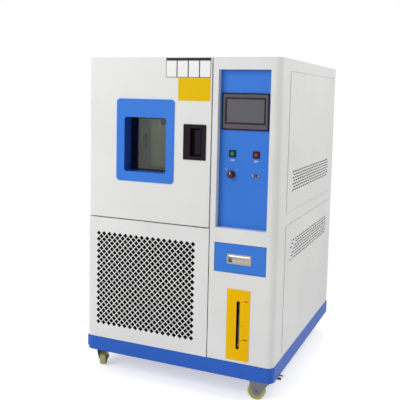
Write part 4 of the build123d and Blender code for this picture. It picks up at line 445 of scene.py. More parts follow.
def grid_quads(rows: int, columns: int, around: bool, closed: bool = False) -> np.ndarray:
    """Quads of a grid of points, row by row.

    Args:
        rows: number of rows of points.
        columns: number of points in a row.
        around: whether each row closes on itself.
        closed: whether the last row joins the first.

    Returns:
        An array of four point numbers per quad.
    """
    numbers = np.arange(rows * columns).reshape(rows, columns)
    numbers = np.pad(numbers, ((0, closed), (0, around)), mode="wrap")
    corners = (numbers[:-1, :-1], numbers[:-1, 1:], numbers[1:, 1:], numbers[1:, :-1])
    return np.stack(corners, axis=-1).reshape(-1, 4)


def to_frame(points: np.ndarray) -> np.ndarray:
    """Turn millimetres from the left side, front and floor into metres in the row frame."""
    return (points + np.array([LEFT_SIDE, FRONT_FACE, 0.0])) * METRES


def add_object(name: str, data: ID) -> Object:
    """Put a mesh, curve, camera or light into the scene as an object."""
    made = bpy.data.objects.new(name, data)
    bpy.context.scene.collection.objects.link(made)
    return made


def make_piece(
    name: str,
    skin: Skin,
    finish: Finish,
    body: Body = Body.CABINET,
    smooth: float = CREASE,
) -> Object:
    """Put computed points and faces into a mesh object that rides on a body.

    Args:
        name: the piece's name.
        skin: N by 3 millimetres from the left side, the front and the floor, and the faces.
        finish: its surface.
        body: the CAD body that it moves with.
        smooth: edges that turn less than this many degrees are shaded smooth.

    Returns:
        The new object.
    """
    points, faces = skin
    mesh = bpy.data.meshes.new(name)
    mesh.from_pydata(to_frame(points).tolist(), [], faces)
    mesh.update()
    piece = add_object(name, mesh)
    mesh.materials.append(finish.material())
    mesh.shade_smooth()
    mesh.set_sharp_from_angle(angle=radians(smooth))
    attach(piece, body.value)
    LOG.info("%s: %d faces on %s", name, len(mesh.polygons), body.value)
    return piece


def rounded_loop(
    centre: Pair, size: Pair, radius: float, depth: float, steps: int = 6
) -> np.ndarray:
    """A rounded rectangle facing the front, as a closed loop of points.

    Four quarter circles stand on the corners of the rectangle drawn in by the radius.

    Args:
        centre: place from the left side and the floor.
        size: width and height.
        radius: corner radius.
        depth: distance behind the front face.
        steps: spans in each corner.

    Returns:
        4 * (steps + 1) points, anticlockwise seen from the front.
    """
    turn = np.linspace(0, np.pi / 2, steps + 1)
    angles = (turn[None, :] + np.arange(4)[:, None] * np.pi / 2).ravel()
    sign_x = np.repeat([1, -1, -1, 1], steps + 1)
    sign_z = np.repeat([1, 1, -1, -1], steps + 1)
    x = centre[0] + sign_x * (size[0] / 2 - radius) + radius * np.cos(angles)
    z = centre[1] + sign_z * (size[1] / 2 - radius) + radius * np.sin(angles)
    return np.stack([x, np.full_like(x, depth), z], axis=1)


def loft(rings: list, closed: bool = False) -> Skin:
    """Join loops of equal length into a skin.

    Args:
        rings: the loops in order, each N by 3.
        closed: whether the last loop joins the first; if not, a face closes each end.

    Returns:
        The points and the faces.
    """
    count = len(rings[0])
    points = np.concatenate(rings)
    faces = grid_quads(len(rings), count, around=True, closed=closed).tolist()
    if not closed:
        faces.append(list(range(count))[::-1])
        faces.append(list(range(len(points) - count, len(points))))
    return points, faces


def extruded(outline: np.ndarray, axis: int, places: Pair) -> Skin:
    """Run an outline, flat in the other two coordinates, straight along an axis."""
    return loft([np.insert(outline, axis, place, axis=1) for place in places])


def turned(place: Point, axis: Point, profile: tuple, steps: int) -> Skin:
    """Carry a profile of radius and height round an axis.

    Each point is place + height * axis + radius * (cos * side + sin * up), with side and up
    square to the axis.

    Args:
        place: where the axis starts.
        axis: unit direction of the height.
        profile: pairs of radius and height.
        steps: points round the axis.

    Returns:
        The points and the faces, closed at both ends.
    """
    direction = np.array(axis, float)
    helper = np.array(RIGHTWARD if abs(direction[2]) >= STEEP else (0.0, 0.0, 1.0))
    side = np.cross(helper, direction)
    side /= np.linalg.norm(side)
    up = np.cross(direction, side)
    angle = np.linspace(0, 2 * np.pi, steps, endpoint=False)
    ring = np.cos(angle)[:, None] * side + np.sin(angle)[:, None] * up
    rings = [np.array(place) + height * direction + radius * ring for radius, height in profile]
    return loft(rings)


def block(low: Point, high: Point, edge: float) -> Skin:
    """A block with its front edges eased: rounded loops from the back face to the front face.

    Args:
        low: lowest corner.
        high: highest corner.
        edge: how far the front edge is eased.

    Returns:
        The points and the faces.
    """
    centre = ((low[0] + high[0]) / 2, (low[2] + high[2]) / 2)
    size = (high[0] - low[0], high[2] - low[2])
    inner = (size[0] - 2 * edge, size[1] - 2 * edge)
    rings = [
        rounded_loop(centre, size, edge, high[1], 2),
        rounded_loop(centre, size, edge, low[1] + edge, 2),
        rounded_loop(centre, inner, edge * EASED, low[1], 2),
    ]
    return loft(rings)


def leaf(low: Pair, high: Pair, face: float, thickness: float, edge: float) -> Skin:
    """A thin block that lies on a face between two corners seen from the front."""
    return block((low[0], face - thickness, low[1]), (high[0], face, high[1]), edge)


def flat_ring(
    centre: Pair, outer: Pair, width: float, radius: float, face: float, back: float
) -> Skin:
    """A flat frame facing the front: outer and inner rounded loops joined into a closed band.

    Args:
        centre: place from the left side and the floor.
        outer: width and height of the outer edge.
        width: breadth of the band.
        radius: corner radius of the outer edge.
        face: depth of its front.
        back: depth of its back.

    Returns:
        The points and the faces.
    """
    inner = (outer[0] - 2 * width, outer[1] - 2 * width)
    inner_radius = max(radius - width, LEAST_RADIUS)
    rings = [
        rounded_loop(centre, outer, radius, back),
        rounded_loop(centre, outer, radius, face),
        rounded_loop(centre, inner, inner_radius, face),
        rounded_loop(centre, inner, inner_radius, back),
    ]
    return loft(rings, closed=True)


def merged(parts: list) -> Skin:
    """Put several skins into one: points one after another, point numbers shifted to match."""
    points = np.concatenate([part[0] for part in parts])
    starts = np.cumsum([0] + [len(part[0]) for part in parts[:-1]])
    faces = [
        [int(start) + corner for corner in face]
        for start, part in zip(starts, parts)
        for face in part[1]
    ]
    return points, faces


def screw_heads(places: list, axis: Point, radius: float) -> Skin:
    """Domed screw heads with a driver recess, one at each place.

    Args:
        places: where the heads sit on the sheet.
        axis: direction that they face.
        radius: radius of the head.

    Returns:
        The points and the faces of all heads.
    """
    profile = [(radius * reach, radius * rise if rise > 0 else rise) for reach, rise in HEAD]
    return merged([turned(place, axis, profile, 12) for place in places])


def thicken(piece: Object, sheet: float) -> None:
    """Drop a surface's unused points and give it its thickness inwards, with crisp cut edges.

    Args:
        piece: the surface.
        sheet: thickness in millimetres.
    """
    work = bmesh.new()
    work.from_mesh(piece.data)
    loose = [vertex for vertex in work.verts if not vertex.link_faces]
    bmesh.ops.delete(work, geom=loose, context="VERTS")
    work.to_mesh(piece.data)
    work.free()
    wall = piece.modifiers.new("sheet", "SOLIDIFY")
    wall.thickness = sheet * METRES
    wall.offset = -1.0
    edges = piece.modifiers.new("cut_edges", "EDGE_SPLIT")
    edges.split_angle = radians(CREASE)


def centred(middle: float, count: int, pitch: float) -> np.ndarray:
    """Evenly pitched places about a middle."""
    return middle + (np.arange(count) - (count - 1) / 2) * pitch


@dataclass
class IntakePanel:
    """The perforated panel below the door, bent round the cabinet's left corner."""

    width: float = 604.0
    bottom: float = 160.0
    top: float = 718.0
    corner_radius: float = 30.0
    bend_points: int = 13
    side_reach: float = 59.7
    sheet: float = 1.5
    flange_drop: float = 0.4
    pitch: float = 27.6
    hole: float = 15.8
    columns: int = 18
    rows: int = 16
    centre: Pair = (296.8, 437.5)
    spare_cells: int = 4
    sliver: float = 1e-6
    filter_low: Point = (44.0, 3.0, 205.0)
    filter_high: Point = (560.0, 8.0, 670.0)
    filter_edge: float = 1.0

    def field(self) -> Skin:
        """The flat front with its staggered diamonds.

        The diamonds are the open cells of a grid turned by 45 degrees, whose lines lie half a
        hole either side of each cell centre. Points that fall outside the flat front are moved
        to its nearest edge, so the grid ends in straight edges.

        Returns:
            The points and the quads of the solid cells.
        """
        root = sqrt(2)
        pitch = self.pitch / root
        span = (self.width + self.top - self.bottom) / pitch / root
        reach = int(ceil(span)) + self.spare_cells
        index = np.arange(-reach, reach + 1) * pitch
        lines = np.sort(np.concatenate([index - self.hole / 2, index + self.hole / 2]))
        a, b = np.meshgrid(lines, lines, indexing="ij")
        counts = (self.columns, self.rows)
        first = [c - (n - 1) * self.pitch / 2 for c, n in zip(self.centre, counts)]
        x = np.clip(first[0] + (a - b) / root, self.corner_radius, self.width)
        z = np.clip(first[1] + (a + b) / root, self.bottom, self.top)
        points = np.stack([x, np.zeros_like(x), z], axis=-1).reshape(-1, 3)
        count = len(lines)
        quads = grid_quads(count, count, around=False)
        i, j = quads[:, 0] // count, quads[:, 0] % count
        across = i // 2 - j // 2
        upward = i // 2 + j // 2 - 2 * reach
        inside = (across >= 0) & (across <= 2 * (self.columns - 1))
        inside &= (upward >= 0) & (upward <= 2 * (self.rows - 1))
        hole = (i % 2 == 0) & (j % 2 == 0) & inside
        corners = points[quads]
        edges = np.roll(corners, -1, axis=1) - corners
        halves = [np.cross(edges[:, k], edges[:, k + 1])[:, 1] for k in (0, 2)]
        return points, quads[(~hole) & (np.abs(halves[0] + halves[1]) > self.sliver)]

    def quarter(self, radius: float) -> np.ndarray:
        """The corner's quarter circle from the flat front to the left side, N by x and y."""
        angle = np.linspace(0, np.pi / 2, self.bend_points)
        return self.corner_radius - radius * np.column_stack([np.sin(angle), np.cos(angle)])

    def bend(self, heights: np.ndarray) -> Skin:
        """The rounded corner and the short left side, on the same heights as the flat's edge.

        A point is the corner's quarter circle at an angle, followed by the straight side.

        Args:
            heights: the heights of the points on the flat's left edge.

        Returns:
            The points and the quads.
        """
        path = np.append(self.quarter(self.corner_radius), [[0.0, self.side_reach]], axis=0)
        rows, columns = len(path), len(heights)
        points = np.column_stack([np.repeat(path, columns, axis=0), np.tile(heights, rows)])
        return points, grid_quads(rows, columns, around=False)

    def build(self) -> None:
        """Join flat and bend where points are shared, thicken the sheet, add flange and a black
        filter mat that paints the shade behind the holes.
        """
        flat, flat_quads = self.field()
        used = np.unique(flat_quads)
        on_edge = used[np.isclose(flat[used, 0], self.corner_radius)]
        side, side_quads = self.bend(np.unique(np.round(flat[on_edge, 2], 4)))
        points, quads = merged([(flat, flat_quads), (side, side_quads[:, ::-1])])
        microns = np.round(points, 3)
        _, first, back = np.unique(microns, axis=0, return_index=True, return_inverse=True)
        faces = [list(dict.fromkeys(quad)) for quad in back.reshape(-1)[np.array(quads)].tolist()]
        skin = (points[first], [face for face in faces if len(face) > 2])
        panel = make_piece("intake_panel_perforated", skin, WHITE_COAT)
        thicken(panel, self.sheet)
        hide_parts("front_grille_panel")
        self.flange()
        # Black filter mat behind the holes: a dust filter, and painted shade seen through them.
        mat = block(self.filter_low, self.filter_high, self.filter_edge)
        make_piece("intake_filter_shade_mat", mat, FILTER_SHADE_FOAM)

    def flange(self) -> None:
        """The level flange along the top edge, with the same rounded corner."""
        corner = self.quarter(self.corner_radius - self.sheet)[::-1]
        ends = [[self.width, self.sheet], [self.width, self.side_reach]]
        outline = np.concatenate([[[self.sheet, self.side_reach]], corner, ends])
        levels = (self.top - self.sheet - self.flange_drop, self.top - self.flange_drop)
        skin = extruded(outline, 2, levels)
        make_piece("intake_panel_flange", skin, WHITE_COAT)


@dataclass
class ServiceCovers:
    """The two flush covers on the right side, with staggered rows of short slots."""

    side: float = 900.0
    front: float = 129.0
    depth: float = 831.0
    covers: tuple = (("upper", 790.0, 593.0, 919.0), ("lower", 182.0, 553.0, 613.5))
    sheet: float = 1.5
    slot_pitch: float = 36.0
    slot_length: float = 25.0
    slot_height: float = 6.5
    row_pitch: float = 13.4
    rows: int = 7
    per_row: int = 19
    vent_front: float = 205.0
    screw_inset: float = 14.0
    screw_rise: float = 30.0
    screw_drop: float = 50.0
    screw: tuple = (
        (TIP, -0.2),
        (4.6, -0.2),
        (4.4, 0.7),
        (3.4, 1.5),
        (1.8, 1.8),
        (1.5, 1.0),
        (TIP, 0.9),
    )

    def sheet_grid(self, bottom: float, height: float, vent_middle: float) -> Skin:
        """A grid whose lines run along every slot edge; the cells inside the slots stay open.

        Args:
            bottom: lowest edge of the cover.
            height: its height.
            vent_middle: height of the middle row of slots.

        Returns:
            The points and the quads of the closed cells.
        """
        half_pitch, half_height = self.slot_pitch / 2, self.slot_height / 2
        row_starts = self.vent_front + np.arange(self.per_row) * self.slot_pitch
        starts = np.concatenate([row_starts, row_starts + half_pitch])
        edges_y = np.unique(np.concatenate([starts, starts + self.slot_length]))
        y_lines = np.concatenate([[self.front], edges_y, [self.front + self.depth]])
        middles = centred(vent_middle, self.rows, self.row_pitch)
        edges_z = np.sort(np.concatenate([middles - half_height, middles + half_height]))
        z_lines = np.concatenate([[bottom], edges_z, [bottom + height]])
        y, z = np.meshgrid(y_lines, z_lines, indexing="ij")
        points = np.stack([np.full_like(y, self.side), y, z], axis=-1).reshape(-1, 3)
        quads = grid_quads(len(y_lines), len(z_lines), around=False)
        centre = points[quads].mean(axis=1)
        row = np.round((centre[:, 2] - middles[0]) / self.row_pitch)
        in_row = np.abs(centre[:, 2] - (middles[0] + row * self.row_pitch)) < half_height
        in_row &= (row >= 0) & (row < self.rows)
        along = centre[:, 1] - self.vent_front - np.where(row % 2 == 0, 0.0, half_pitch)
        in_slot = (along > 0) & (along < self.per_row * self.slot_pitch)
        in_slot &= along % self.slot_pitch < self.slot_length
        return points, quads[~(in_row & in_slot)]

    def build(self) -> None:
        """Make both covers as thin sheets and add their corner screws."""
        for number, (name, bottom, height, vent_middle) in enumerate(self.covers):
            points, quads = self.sheet_grid(bottom, height, vent_middle)
            skin = (points, quads.tolist())
            cover = make_piece(f"service_cover_{name}", skin, WHITE_COAT)
            thicken(cover, self.sheet)
            if number == 0:
                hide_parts("side_access_panels")
            for y in (self.front + self.screw_inset, self.front + self.depth - self.screw_inset):
                for z in (bottom + self.screw_rise, bottom + height - self.screw_drop):
                    head = turned((self.side, y, z), RIGHTWARD, self.screw, 16)
                    label = f"cover_screw_{number}_{int(y)}_{int(z)}"
                    make_piece(label, head, CHROME)


@dataclass
class Plates:
    """The bare plates on the door: four small ones with dark borders, and a yellow one."""

    left: float = 389.0
    right: float = 596.0
    bottom: float = 1350.0
    top: float = 1432.0
    header: float = 12.0
    border: float = 2.4
    thickness: float = 0.5
    edge: float = 0.2
    count: int = 4
    yellow_low: Pair = (447.0, 1253.0)
    yellow_high: Pair = (596.0, 1349.0)

    def build(self) -> None:
        """Lay a dark backing, then the white fields on it, then the yellow plate."""
        low, high = (self.left, self.bottom), (self.right, self.top)
        backing = leaf(low, high, 0.0, self.thickness, self.edge)
        make_piece("plate_backing", backing, LABEL_BLACK, Body.DOOR)
        width = (self.right - self.left) / self.count
        for number in range(self.count):
            x = self.left + number * width + self.border
            low = (x, self.bottom + self.border)
            high = (x + width - 2 * self.border, self.top - self.header)
            plate = leaf(low, high, -self.thickness, self.thickness, self.edge)
            make_piece(f"plate_field_{number}", plate, LABEL_WHITE, Body.DOOR)
        yellow = leaf(self.yellow_low, self.yellow_high, 0.0, self.thickness, self.edge)
        make_piece("plate_yellow", yellow, LABEL_YELLOW, Body.DOOR)


@dataclass
class GaugeMarks:
    """The printed level marks beside the slot of the gauge plate."""

    face: float = -2.0
    film: float = 0.15
    edge: float = 0.1
    left: float = 754.0
    half_line: float = 0.9
    marks: tuple = ((425.0, 12.0, MARK_RED), (325.0, 8.0, MARK_INK), (261.0, 12.0, MARK_INK))
    blocked: tuple[int, ...] = (0, 2)
    block: tuple[Pair, Pair] = ((4.0, 0.6), (20.0, 6.4))

    def build(self) -> None:
        """One short line per level, with a wider block of print beside the outer ones."""
        for number, (height, length, ink) in enumerate(self.marks):
            end = self.left + length
            low, high = (self.left, height - self.half_line), (end, height + self.half_line)
            line = leaf(low, high, self.face, self.film, self.edge)
            make_piece(f"gauge_mark_{number}", line, ink)
            if number in self.blocked:
                low, high = np.array(self.block) + [end, height]
                wide = leaf(low, high, self.face, self.film, self.edge)
                make_piece(f"gauge_block_{number}", wide, ink)


@dataclass
class ScreenTrim:
    """The dark line round the display area, and a black seal round the screen unit, widened to
    paint the unit's shade on the panel.
    """

    centre: Pair = (742.2, 1217.0)
    size: Pair = (177.0, 110.0)
    line: float = 6.5
    line_radius: float = 2.0
    line_back: float = 1.8
    unit_centre: Pair = (742.25, 1214.0)
    unit: Pair = (204.4, 151.9)
    seal_and_shade: float = 5.0
    seal_and_shade_radius: float = 1.5
    seal_and_shade_back: float = 0.6
    face: float = 22.0
    film: float = 0.4

    def build(self) -> None:
        """Lay both frames on the face of the screen unit."""
        front = self.face - self.film
        back = self.face + self.line_back
        line = flat_ring(self.centre, self.size, self.line, self.line_radius, front, back)
        make_piece("screen_line", line, LABEL_BLACK)
        # The black band round the unit is a seal widened into painted shade on the panel.
        back = self.face + self.seal_and_shade_back
        seal_and_shade = flat_ring(self.unit_centre, self.unit, self.seal_and_shade, self.seal_and_shade_radius, front, back)
        make_piece("screen_unit_seal_and_shade", seal_and_shade, SEAL)


@dataclass
class WindowTrim:
    """Rubber, dark linings, lamp and screws of the deep door window, and a deeper blue film on the
    recess walls that paints their shade.
    """

    centre: Pair = (292.25, 1056.8)
    size: Pair = (204.4, 239.4)
    radius: float = 11.0
    bead: float = 4.0
    clearance: float = 0.1
    pane_front: float = 60.0
    pane_back: float = 65.2
    inner_pane: float = 124.8
    lining: float = 0.8
    spacer: float = 10.0
    spacer_depth: float = 3.0
    recess_shade_film: float = 0.4
    recess_front: float = 0.6
    lamp_low: Point = (328.0, 74.0, 1144.0)
    lamp_high: Point = (364.0, 108.0, 1175.6)
    lamp_edge: float = 3.0
    screw_depth: float = 21.0
    screw_heights: Pair = (1144.5, 967.3)
    screw_radius: float = 3.2

    def build(self) -> None:
        """A bead on the outer pane, linings, the recess's painted shade, a spacer on the inner
        pane, the lamp, two screws.
        """
        front = self.pane_front - self.bead
        inside = (self.size[0] - 2 * self.lining, self.size[1] - 2 * self.lining)
        spacer_front = self.inner_pane - self.spacer_depth
        bands = {
            "window_bead": (self.size, self.bead, front, self.pane_front - self.clearance),
            "window_tunnel_lining": (self.size, self.lining, self.pane_back, self.inner_pane),
            "window_inner_spacer": (inside, self.spacer, spacer_front, self.inner_pane),
            # Deeper blue film on the recess walls: painted shade.
            "window_recess_painted_shade": (self.size, self.recess_shade_film, self.recess_front, front),
        }
        for name, (size, width, face, back) in bands.items():
            band = flat_ring(self.centre, size, width, self.radius, face, back)
            # The recess film takes the painted shade blue; the other bands are black rubber.
            recess_shaded = name == "window_recess_painted_shade"
            finish, slot = (RECESS_SHADE_BLUE, Slot.TRIM_BLUE) if recess_shaded else (SEAL, Slot.BLACK)
            make_piece(name, band, finish, Body.DOOR)
        lamp = block(self.lamp_low, self.lamp_high, self.lamp_edge)
        make_piece("window_lamp", lamp, BLACK_ABS, Body.DOOR)
        wall = self.centre[0] - self.size[0] / 2
        places = [(wall, self.screw_depth, height) for height in self.screw_heights]
        heads = screw_heads(places, RIGHTWARD, self.screw_radius)
        make_piece("window_screws", heads, ZINC, Body.DOOR)


@dataclass
class ControlMarks:
    """Captions and pointer of the switches, contacts of the data socket."""

    face: float = 28.0
    film: float = 0.15
    caption_height: float = 11.0
    captions: tuple = (
        ("ON", 690.0, 1008.0),
        ("OFF", 794.0, 1008.0),
        ("0", 663.0, 968.0),
        ("1", 711.0, 968.0),
    )
    knob: Point = (687.0, 7.7, 952.0)
    pointer_low: Point = (-1.1, -0.25, 1.0)
    pointer_high: Point = (1.1, 0.4, 13.5)
    pointer_edge: float = 0.2
    socket: Point = (795.0, 24.0, 953.0)
    insert_low: Point = (-7.3, 0.0, -3.1)
    insert_high: Point = (7.3, 3.6, 3.1)
    insert_edge: float = 0.8
    pin_back: float = 24.1
    pin_pitch: float = 2.77
    pin_rows: tuple = ((5, 1.4), (4, -1.4))
    pin: tuple = ((TIP, 0.0), (0.5, 0.0), (0.5, 1.0), (TIP, 1.2))
    nut_back: float = 25.0
    nut_reach: float = 12.5
    nut: tuple = ((TIP, 0.0), (2.6, 0.0), (2.6, 3.6), (1.6, 4.2), (1.4, 1.0), (TIP, 1.0))

    def caption(self, words: str, x: float, z: float) -> None:
        """Turn one caption into a thin raised mesh on the blue plate.

        Args:
            words: what it says.
            x: its middle from the left side.
            z: its lower edge from the floor.
        """
        curve = bpy.data.curves.new("caption", "FONT")
        curve.body = words
        curve.size = self.caption_height * METRES
        curve.align_x = "CENTER"
        curve.extrude = self.film * METRES / 2
        holder = add_object("caption", curve)
        graph = bpy.context.evaluated_depsgraph_get()
        flat = bpy.data.meshes.new_from_object(holder.evaluated_get(graph))
        points = np.empty(len(flat.vertices) * 3)
        flat.vertices.foreach_get("co", points)
        along, upward, outward = points.reshape(-1, 3).T / METRES
        faces = [list(polygon.vertices) for polygon in flat.polygons]
        bpy.data.objects.remove(holder)
        depth = self.face - self.film / 2 - outward
        skin = (np.column_stack([x + along, depth, z + upward]), faces)
        make_piece(f"caption_{words.lower()}", skin, LABEL_WHITE)

    def build(self) -> None:
        """Captions, knob pointer, then the socket's insert, contacts and jack screws."""
        for words, x, z in self.captions:
            self.caption(words, x, z)
        knob, socket = np.array(self.knob), np.array(self.socket)
        pointer = block(knob + self.pointer_low, knob + self.pointer_high, self.pointer_edge)
        make_piece("knob_pointer", pointer, LABEL_WHITE, Body.KNOB)
        insert = block(socket + self.insert_low, socket + self.insert_high, self.insert_edge)
        make_piece("socket_insert", insert, BLACK_ABS)
        x, _, z = self.socket
        pins = [
            turned((x + across, self.pin_back, z + rise), FORWARD, self.pin, 8)
            for count, rise in self.pin_rows
            for across in centred(0.0, count, self.pin_pitch)
        ]
        make_piece("socket_contacts", merged(pins), CONTACT_GOLD)
        nuts = [
            turned((x + side * self.nut_reach, self.nut_back, z), FORWARD, self.nut, 6)
            for side in (-1, 1)
        ]
        make_piece("socket_jack_nuts", merged(nuts), CHROME)


@dataclass
class HandlePocket:
    """Near-black lining of the handle's pocket: painted shade of the pocket."""

    centre: Pair = (534.6, 1080.0)
    size: Pair = (51.6, 118.8)
    radius: float = 1.0
    wall: float = 0.5
    face: float = -2.8
    floor: float = 13.7
    floor_sheet: float = 0.2

    def build(self) -> None:
        """A thin band on the pocket's walls and a thin sheet on its floor, both painted shade."""
        # Near-black band and sheet in the pocket: painted shade of its walls and floor.
        band = flat_ring(self.centre, self.size, self.wall, self.radius, self.face, self.floor)
        depths = (self.floor + self.floor_sheet, self.floor)
        sheet = loft([rounded_loop(self.centre, self.size, self.radius, y) for y in depths])
        lining = merged([band, sheet])
        make_piece("handle_pocket_painted_shade", lining, POCKET_SHADE, Body.DOOR)


@dataclass
class PullGrip:
    """The rolled grip inside the chrome drawer pull."""

    ends: Pair = (694.0, 789.0)
    smooth: float = 60.0
    profile: tuple = (
        (17.0, 618.0),
        (4.0, 618.0),
        (0.6, 616.5),
        (-0.4, 613.0),
        (0.6, 609.0),
        (3.2, 607.4),
        (4.6, 608.6),
        (3.0, 611.5),
        (4.4, 615.0),
        (17.0, 616.6),
    )

    def build(self) -> None:
        """The grip's section, given as depth and height, run straight from end to end."""
        grip = extruded(np.array(self.profile), 0, self.ends)
        make_piece("pull_grip", grip, CHROME, Body.DRAWER, self.smooth)


@dataclass
class PanelScrews:
    """Fixing screws of the rear and left sheets and of the controls recess."""

    rear: float = 1010.0
    head: float = 4.2
    heights: tuple[float, float, int] = (210.0, 1385.0, 6)
    rear_columns: Pair = (30.0, 870.0)
    left_columns: Pair = (105.0, 965.0)
    recess_sides: Pair = (631.0, 856.0)
    recess_screw: Pair = (9.0, 1027.0)
    recess_head: float = 3.4

    def build(self) -> None:
        """One head on each wall of the recess, then evenly spaced ones along the sheets."""
        for side, facing in zip(self.recess_sides, (RIGHTWARD, LEFTWARD)):
            head = screw_heads([(side, *self.recess_screw)], facing, self.recess_head)
            make_piece(f"recess_screw_{int(side)}", head, CHROME)
        heights = np.linspace(*self.heights)
        back = [(x, self.rear, z) for x in self.rear_columns for z in heights]
        heads = screw_heads(back, REARWARD, self.head)
        make_piece("rear_screws", heads, ZINC)
        left = [(0.0, y, z) for y in self.left_columns for z in heights]
        heads = screw_heads(left, LEFTWARD, self.head)
        make_piece("left_screws", heads, ZINC)


@dataclass
class CasterCheeks:
    """Pressed cheeks, hood and axle nuts of the swivel casters, over their forks."""

    spots: tuple = (
        (Body.CASTER_FL, 58.0, 48.0, 112.8),
        (Body.CASTER_FR, 842.0, 48.0, 180.0),
        (Body.CASTER_RL, 58.0, 962.0, 200.0),
        (Body.CASTER_RR, 842.0, 962.0, 150.0),
    )
    trail: float = 22.0
    axle_height: float = 37.5
    boss: float = 15.0
    arc_points: int = 14
    lead: float = 6.0
    top_length: float = 92.0
    neck_length: float = 62.0
    top: float = 107.0
    skirt: float = 84.0
    shoulder: Pair = (91.0, 94.6)
    inside: float = 19.1
    sheet: float = 1.2
    nut: tuple = ((TIP, 0.0), (7.0, 0.0), (7.0, 3.5), (4.5, 5.0), (TIP, 5.4))

    def outline(self) -> np.ndarray:
        """The cheek's outline: a narrow neck, a wide shoulder, slanted sides and a round boss.

        The slanted sides leave the corners of the skirt and touch the boss, so the arc runs
        between the two directions in which those tangents leave the axle. The neck is narrow
        enough to turn freely inside the plinth; the shoulder is all below it.

        Returns:
            Points as length and height, in order round the outline.
        """
        half, neck = self.top_length / 2, self.neck_length / 2
        axle = np.array([self.trail, self.axle_height])
        corners = np.array([[self.lead - half, self.skirt], [self.lead + half, self.skirt]])
        reach = corners - axle
        bearing = np.arctan2(reach[:, 1], reach[:, 0])
        swing = np.arccos(self.boss / np.hypot(reach[:, 0], reach[:, 1]))
        start, stop = bearing[0] + swing[0], bearing[1] - swing[1] + 2 * np.pi
        angle = np.linspace(start, stop, self.arc_points)
        arc = axle + self.boss * np.column_stack([np.cos(angle), np.sin(angle)])
        low, high = self.shoulder
        rise = np.array([[half, low], [neck, high], [neck, self.top]])
        head = np.concatenate([rise, rise[::-1] * [-1.0, 1.0]]) + [self.lead, 0.0]
        return np.concatenate([corners[:1], arc, corners[1:], head])

    def build(self) -> None:
        """Join two cheeks, two nuts and a hood, then turn and place them on each caster.

        A copy is turned about its kingpin by the yaw, the direction of the trail in degrees.
        """
        outside = self.inside + self.sheet
        parts = []
        for side in (-1, 1):
            parts.append(extruded(self.outline(), 1, (side * self.inside, side * outside)))
            start = (self.trail, side * outside, self.axle_height)
            parts.append(turned(start, (0.0, float(side), 0.0), self.nut, 12))
        level = np.array(SQUARE) * [self.neck_length / 2, outside] + [self.lead, 0.0]
        parts.append(extruded(level, 2, (self.top - self.sheet, self.top)))
        points, faces = merged(parts)
        length, width, height = points.T
        for body, x, y, yaw in self.spots:
            turn = radians(yaw)
            along = length * cos(turn) - width * sin(turn)
            across = length * sin(turn) + width * cos(turn)
            skin = (np.column_stack([x + along, y + across, height]), faces)
            make_piece(f"{body.value}_cheeks", skin, ZINC, body)


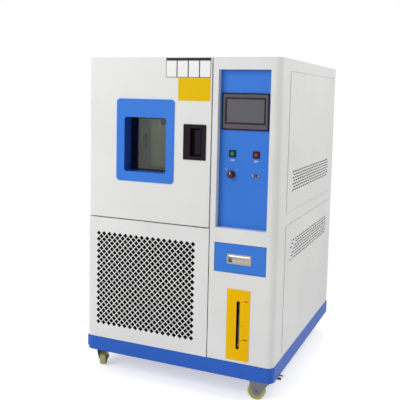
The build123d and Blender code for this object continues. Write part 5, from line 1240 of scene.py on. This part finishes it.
@dataclass
class Studio:
    """Camera, lamps, sky and floor."""

    camera_place: Point = (1616.5, -2428.8, 1269.9)
    yaw: float = 22.809
    pitch: float = -5.235
    roll: float = 1.3277
    focal_pixels: float = 634.21
    middle: Pair = (208.905, 155.358)
    image: float = 400.0
    sensor: float = 36.0
    far: float = 50.0
    lamps: tuple = (
        ("front_soft_lamp", (-1.8, -3.3, 2.7), (0.0, 0.0, 0.8), 2.4, 76.0),
        ("side_soft_lamp", (2.5, 0.2, 3.3), (0.4, 0.0, 1.2), 1.8, 44.0),
    )
    sky_light: Pair = (0.46, 1.0)
    floor_half: float = 12.0
    floor_glow: Pair = (0.0, 0.5)
    floor_fade: Pair = (0.75, 1.5)
    floor_roughness: float = 0.9
    floor_specular: float = 0.1

    @staticmethod
    def pose(thing: Object, *columns: np.ndarray) -> None:
        """Place a camera or lamp by its own three axes and its place."""
        rows = [[column[i] for column in columns] for i in range(3)]
        thing.matrix_world = Matrix(rows + [[0.0, 0.0, 0.0, 1.0]])

    def camera(self) -> None:
        """Place the camera from its angles, with the lens that its focal length in pixels gives."""
        yaw, pitch, roll = (radians(a) for a in (self.yaw, self.pitch, self.roll))
        level = cos(pitch)
        forward = np.array([-sin(yaw) * level, cos(yaw) * level, sin(pitch)])
        right = np.array([cos(yaw), sin(yaw), 0.0])
        up = np.cross(right, forward)
        side = right * cos(roll) + up * sin(roll)
        top = -right * sin(roll) + up * cos(roll)
        data = bpy.data.cameras.new("photo_camera")
        data.sensor_fit = "HORIZONTAL"
        data.sensor_width = self.sensor
        data.lens = self.focal_pixels * self.sensor / self.image
        data.shift_x = (self.image / 2 - self.middle[0]) / self.image
        data.shift_y = (self.middle[1] - self.image / 2) / self.image
        data.clip_end = self.far
        camera = add_object("photo_camera", data)
        self.pose(camera, side, top, -forward, to_frame(np.array(self.camera_place)))
        bpy.context.scene.camera = camera

    def lamp(self, name: str, place: Point, target: Point, size: float, power: float) -> None:
        """One square soft lamp aimed at a point.

        Args:
            name: the lamp's name.
            place: where it stands, in metres.
            target: where it points, in metres.
            size: its side in metres.
            power: its power in watts.
        """
        data = bpy.data.lights.new(name, "AREA")
        data.size = size
        data.energy = power
        away = np.array(place) - np.array(target)
        away /= np.linalg.norm(away)
        side = np.cross([0.0, 0.0, 1.0], away)
        side /= np.linalg.norm(side)
        self.pose(add_object(name, data), side, np.cross(away, side), away, np.array(place))

    def sky(self) -> None:
        """Even pale light, and plain white wherever the background itself is seen."""
        world = bpy.data.worlds.new("studio_sky")
        tree = blank_tree(world)
        strength = remap(tree, any_ray(tree, "Camera", "Glossy", "Transmission"), self.sky_light)
        sky = add_node(tree, "Background", {"Color": linear("FFFFFF"), "Strength": strength})
        add_node(tree, "OutputWorld", {"Surface": sky.outputs[0]})
        bpy.context.scene.world = world

    def floor_paint(self) -> Material:
        """Matt paint that glows a little where it is seen, and turns to white further out."""
        material = bpy.data.materials.new("matt_floor_paint")
        tree = blank_tree(material)
        white = linear("FFFFFF")
        seen = any_ray(tree, "Camera", "Glossy")
        inputs = {
            "Base Color": linear("F2F2F2"),
            "Roughness": self.floor_roughness,
            "Specular IOR Level": self.floor_specular,
            "Emission Color": white,
            "Emission Strength": remap(tree, seen, self.floor_glow),
        }
        paint = add_node(tree, "BsdfPrincipled", inputs).outputs[0]
        away = add_node(tree, "VectorMath", {0: own_place(tree)}, operation="LENGTH")
        away = away.outputs["Value"]
        fade = remap(tree, away, (0.0, 1.0), self.floor_fade, interpolation_type="SMOOTHSTEP")
        share = add_node(tree, "Math", {0: fade, 1: seen}, operation="MULTIPLY").outputs[0]
        glow = add_node(tree, "Emission", {"Color": white, "Strength": 1.0}).outputs[0]
        mixed = add_node(tree, "MixShader", {0: share, 1: paint, 2: glow}).outputs[0]
        add_node(tree, "OutputMaterial", {"Surface": mixed})
        return material

    def floor(self) -> None:
        """A large pale floor that keeps the object's shadow and fades to white where it is seen."""
        half = self.floor_half
        mesh = bpy.data.meshes.new("studio_floor")
        mesh.from_pydata([(x * half, y * half, 0.0) for x, y in SQUARE], [], [range(4)])
        floor = add_object("studio_floor", mesh)
        mesh.materials.append(self.floor_paint())

    def build(self) -> None:
        """Set up the view, the sky, the floor and the lamps."""
        bpy.context.scene.view_settings.view_transform = "Standard"
        self.camera()
        self.sky()
        self.floor()
        for lamp in self.lamps:
            self.lamp(*lamp)


ASSEMBLIES = (
    IntakePanel,
    ServiceCovers,
    Plates,
    GaugeMarks,
    ScreenTrim,
    WindowTrim,
    ControlMarks,
    HandlePocket,
    PullGrip,
    PanelScrews,
    CasterCheeks,
    Studio,
)


def main() -> None:
    """Build everything in order and report it."""
    logging.basicConfig(level=logging.INFO, format="%(name)s %(message)s")
    dress_nodes()
    for assembly in ASSEMBLIES:
        LOG.info("building %s", assembly.__name__)
        assembly().build()


if __name__ == "__main__":
    main()
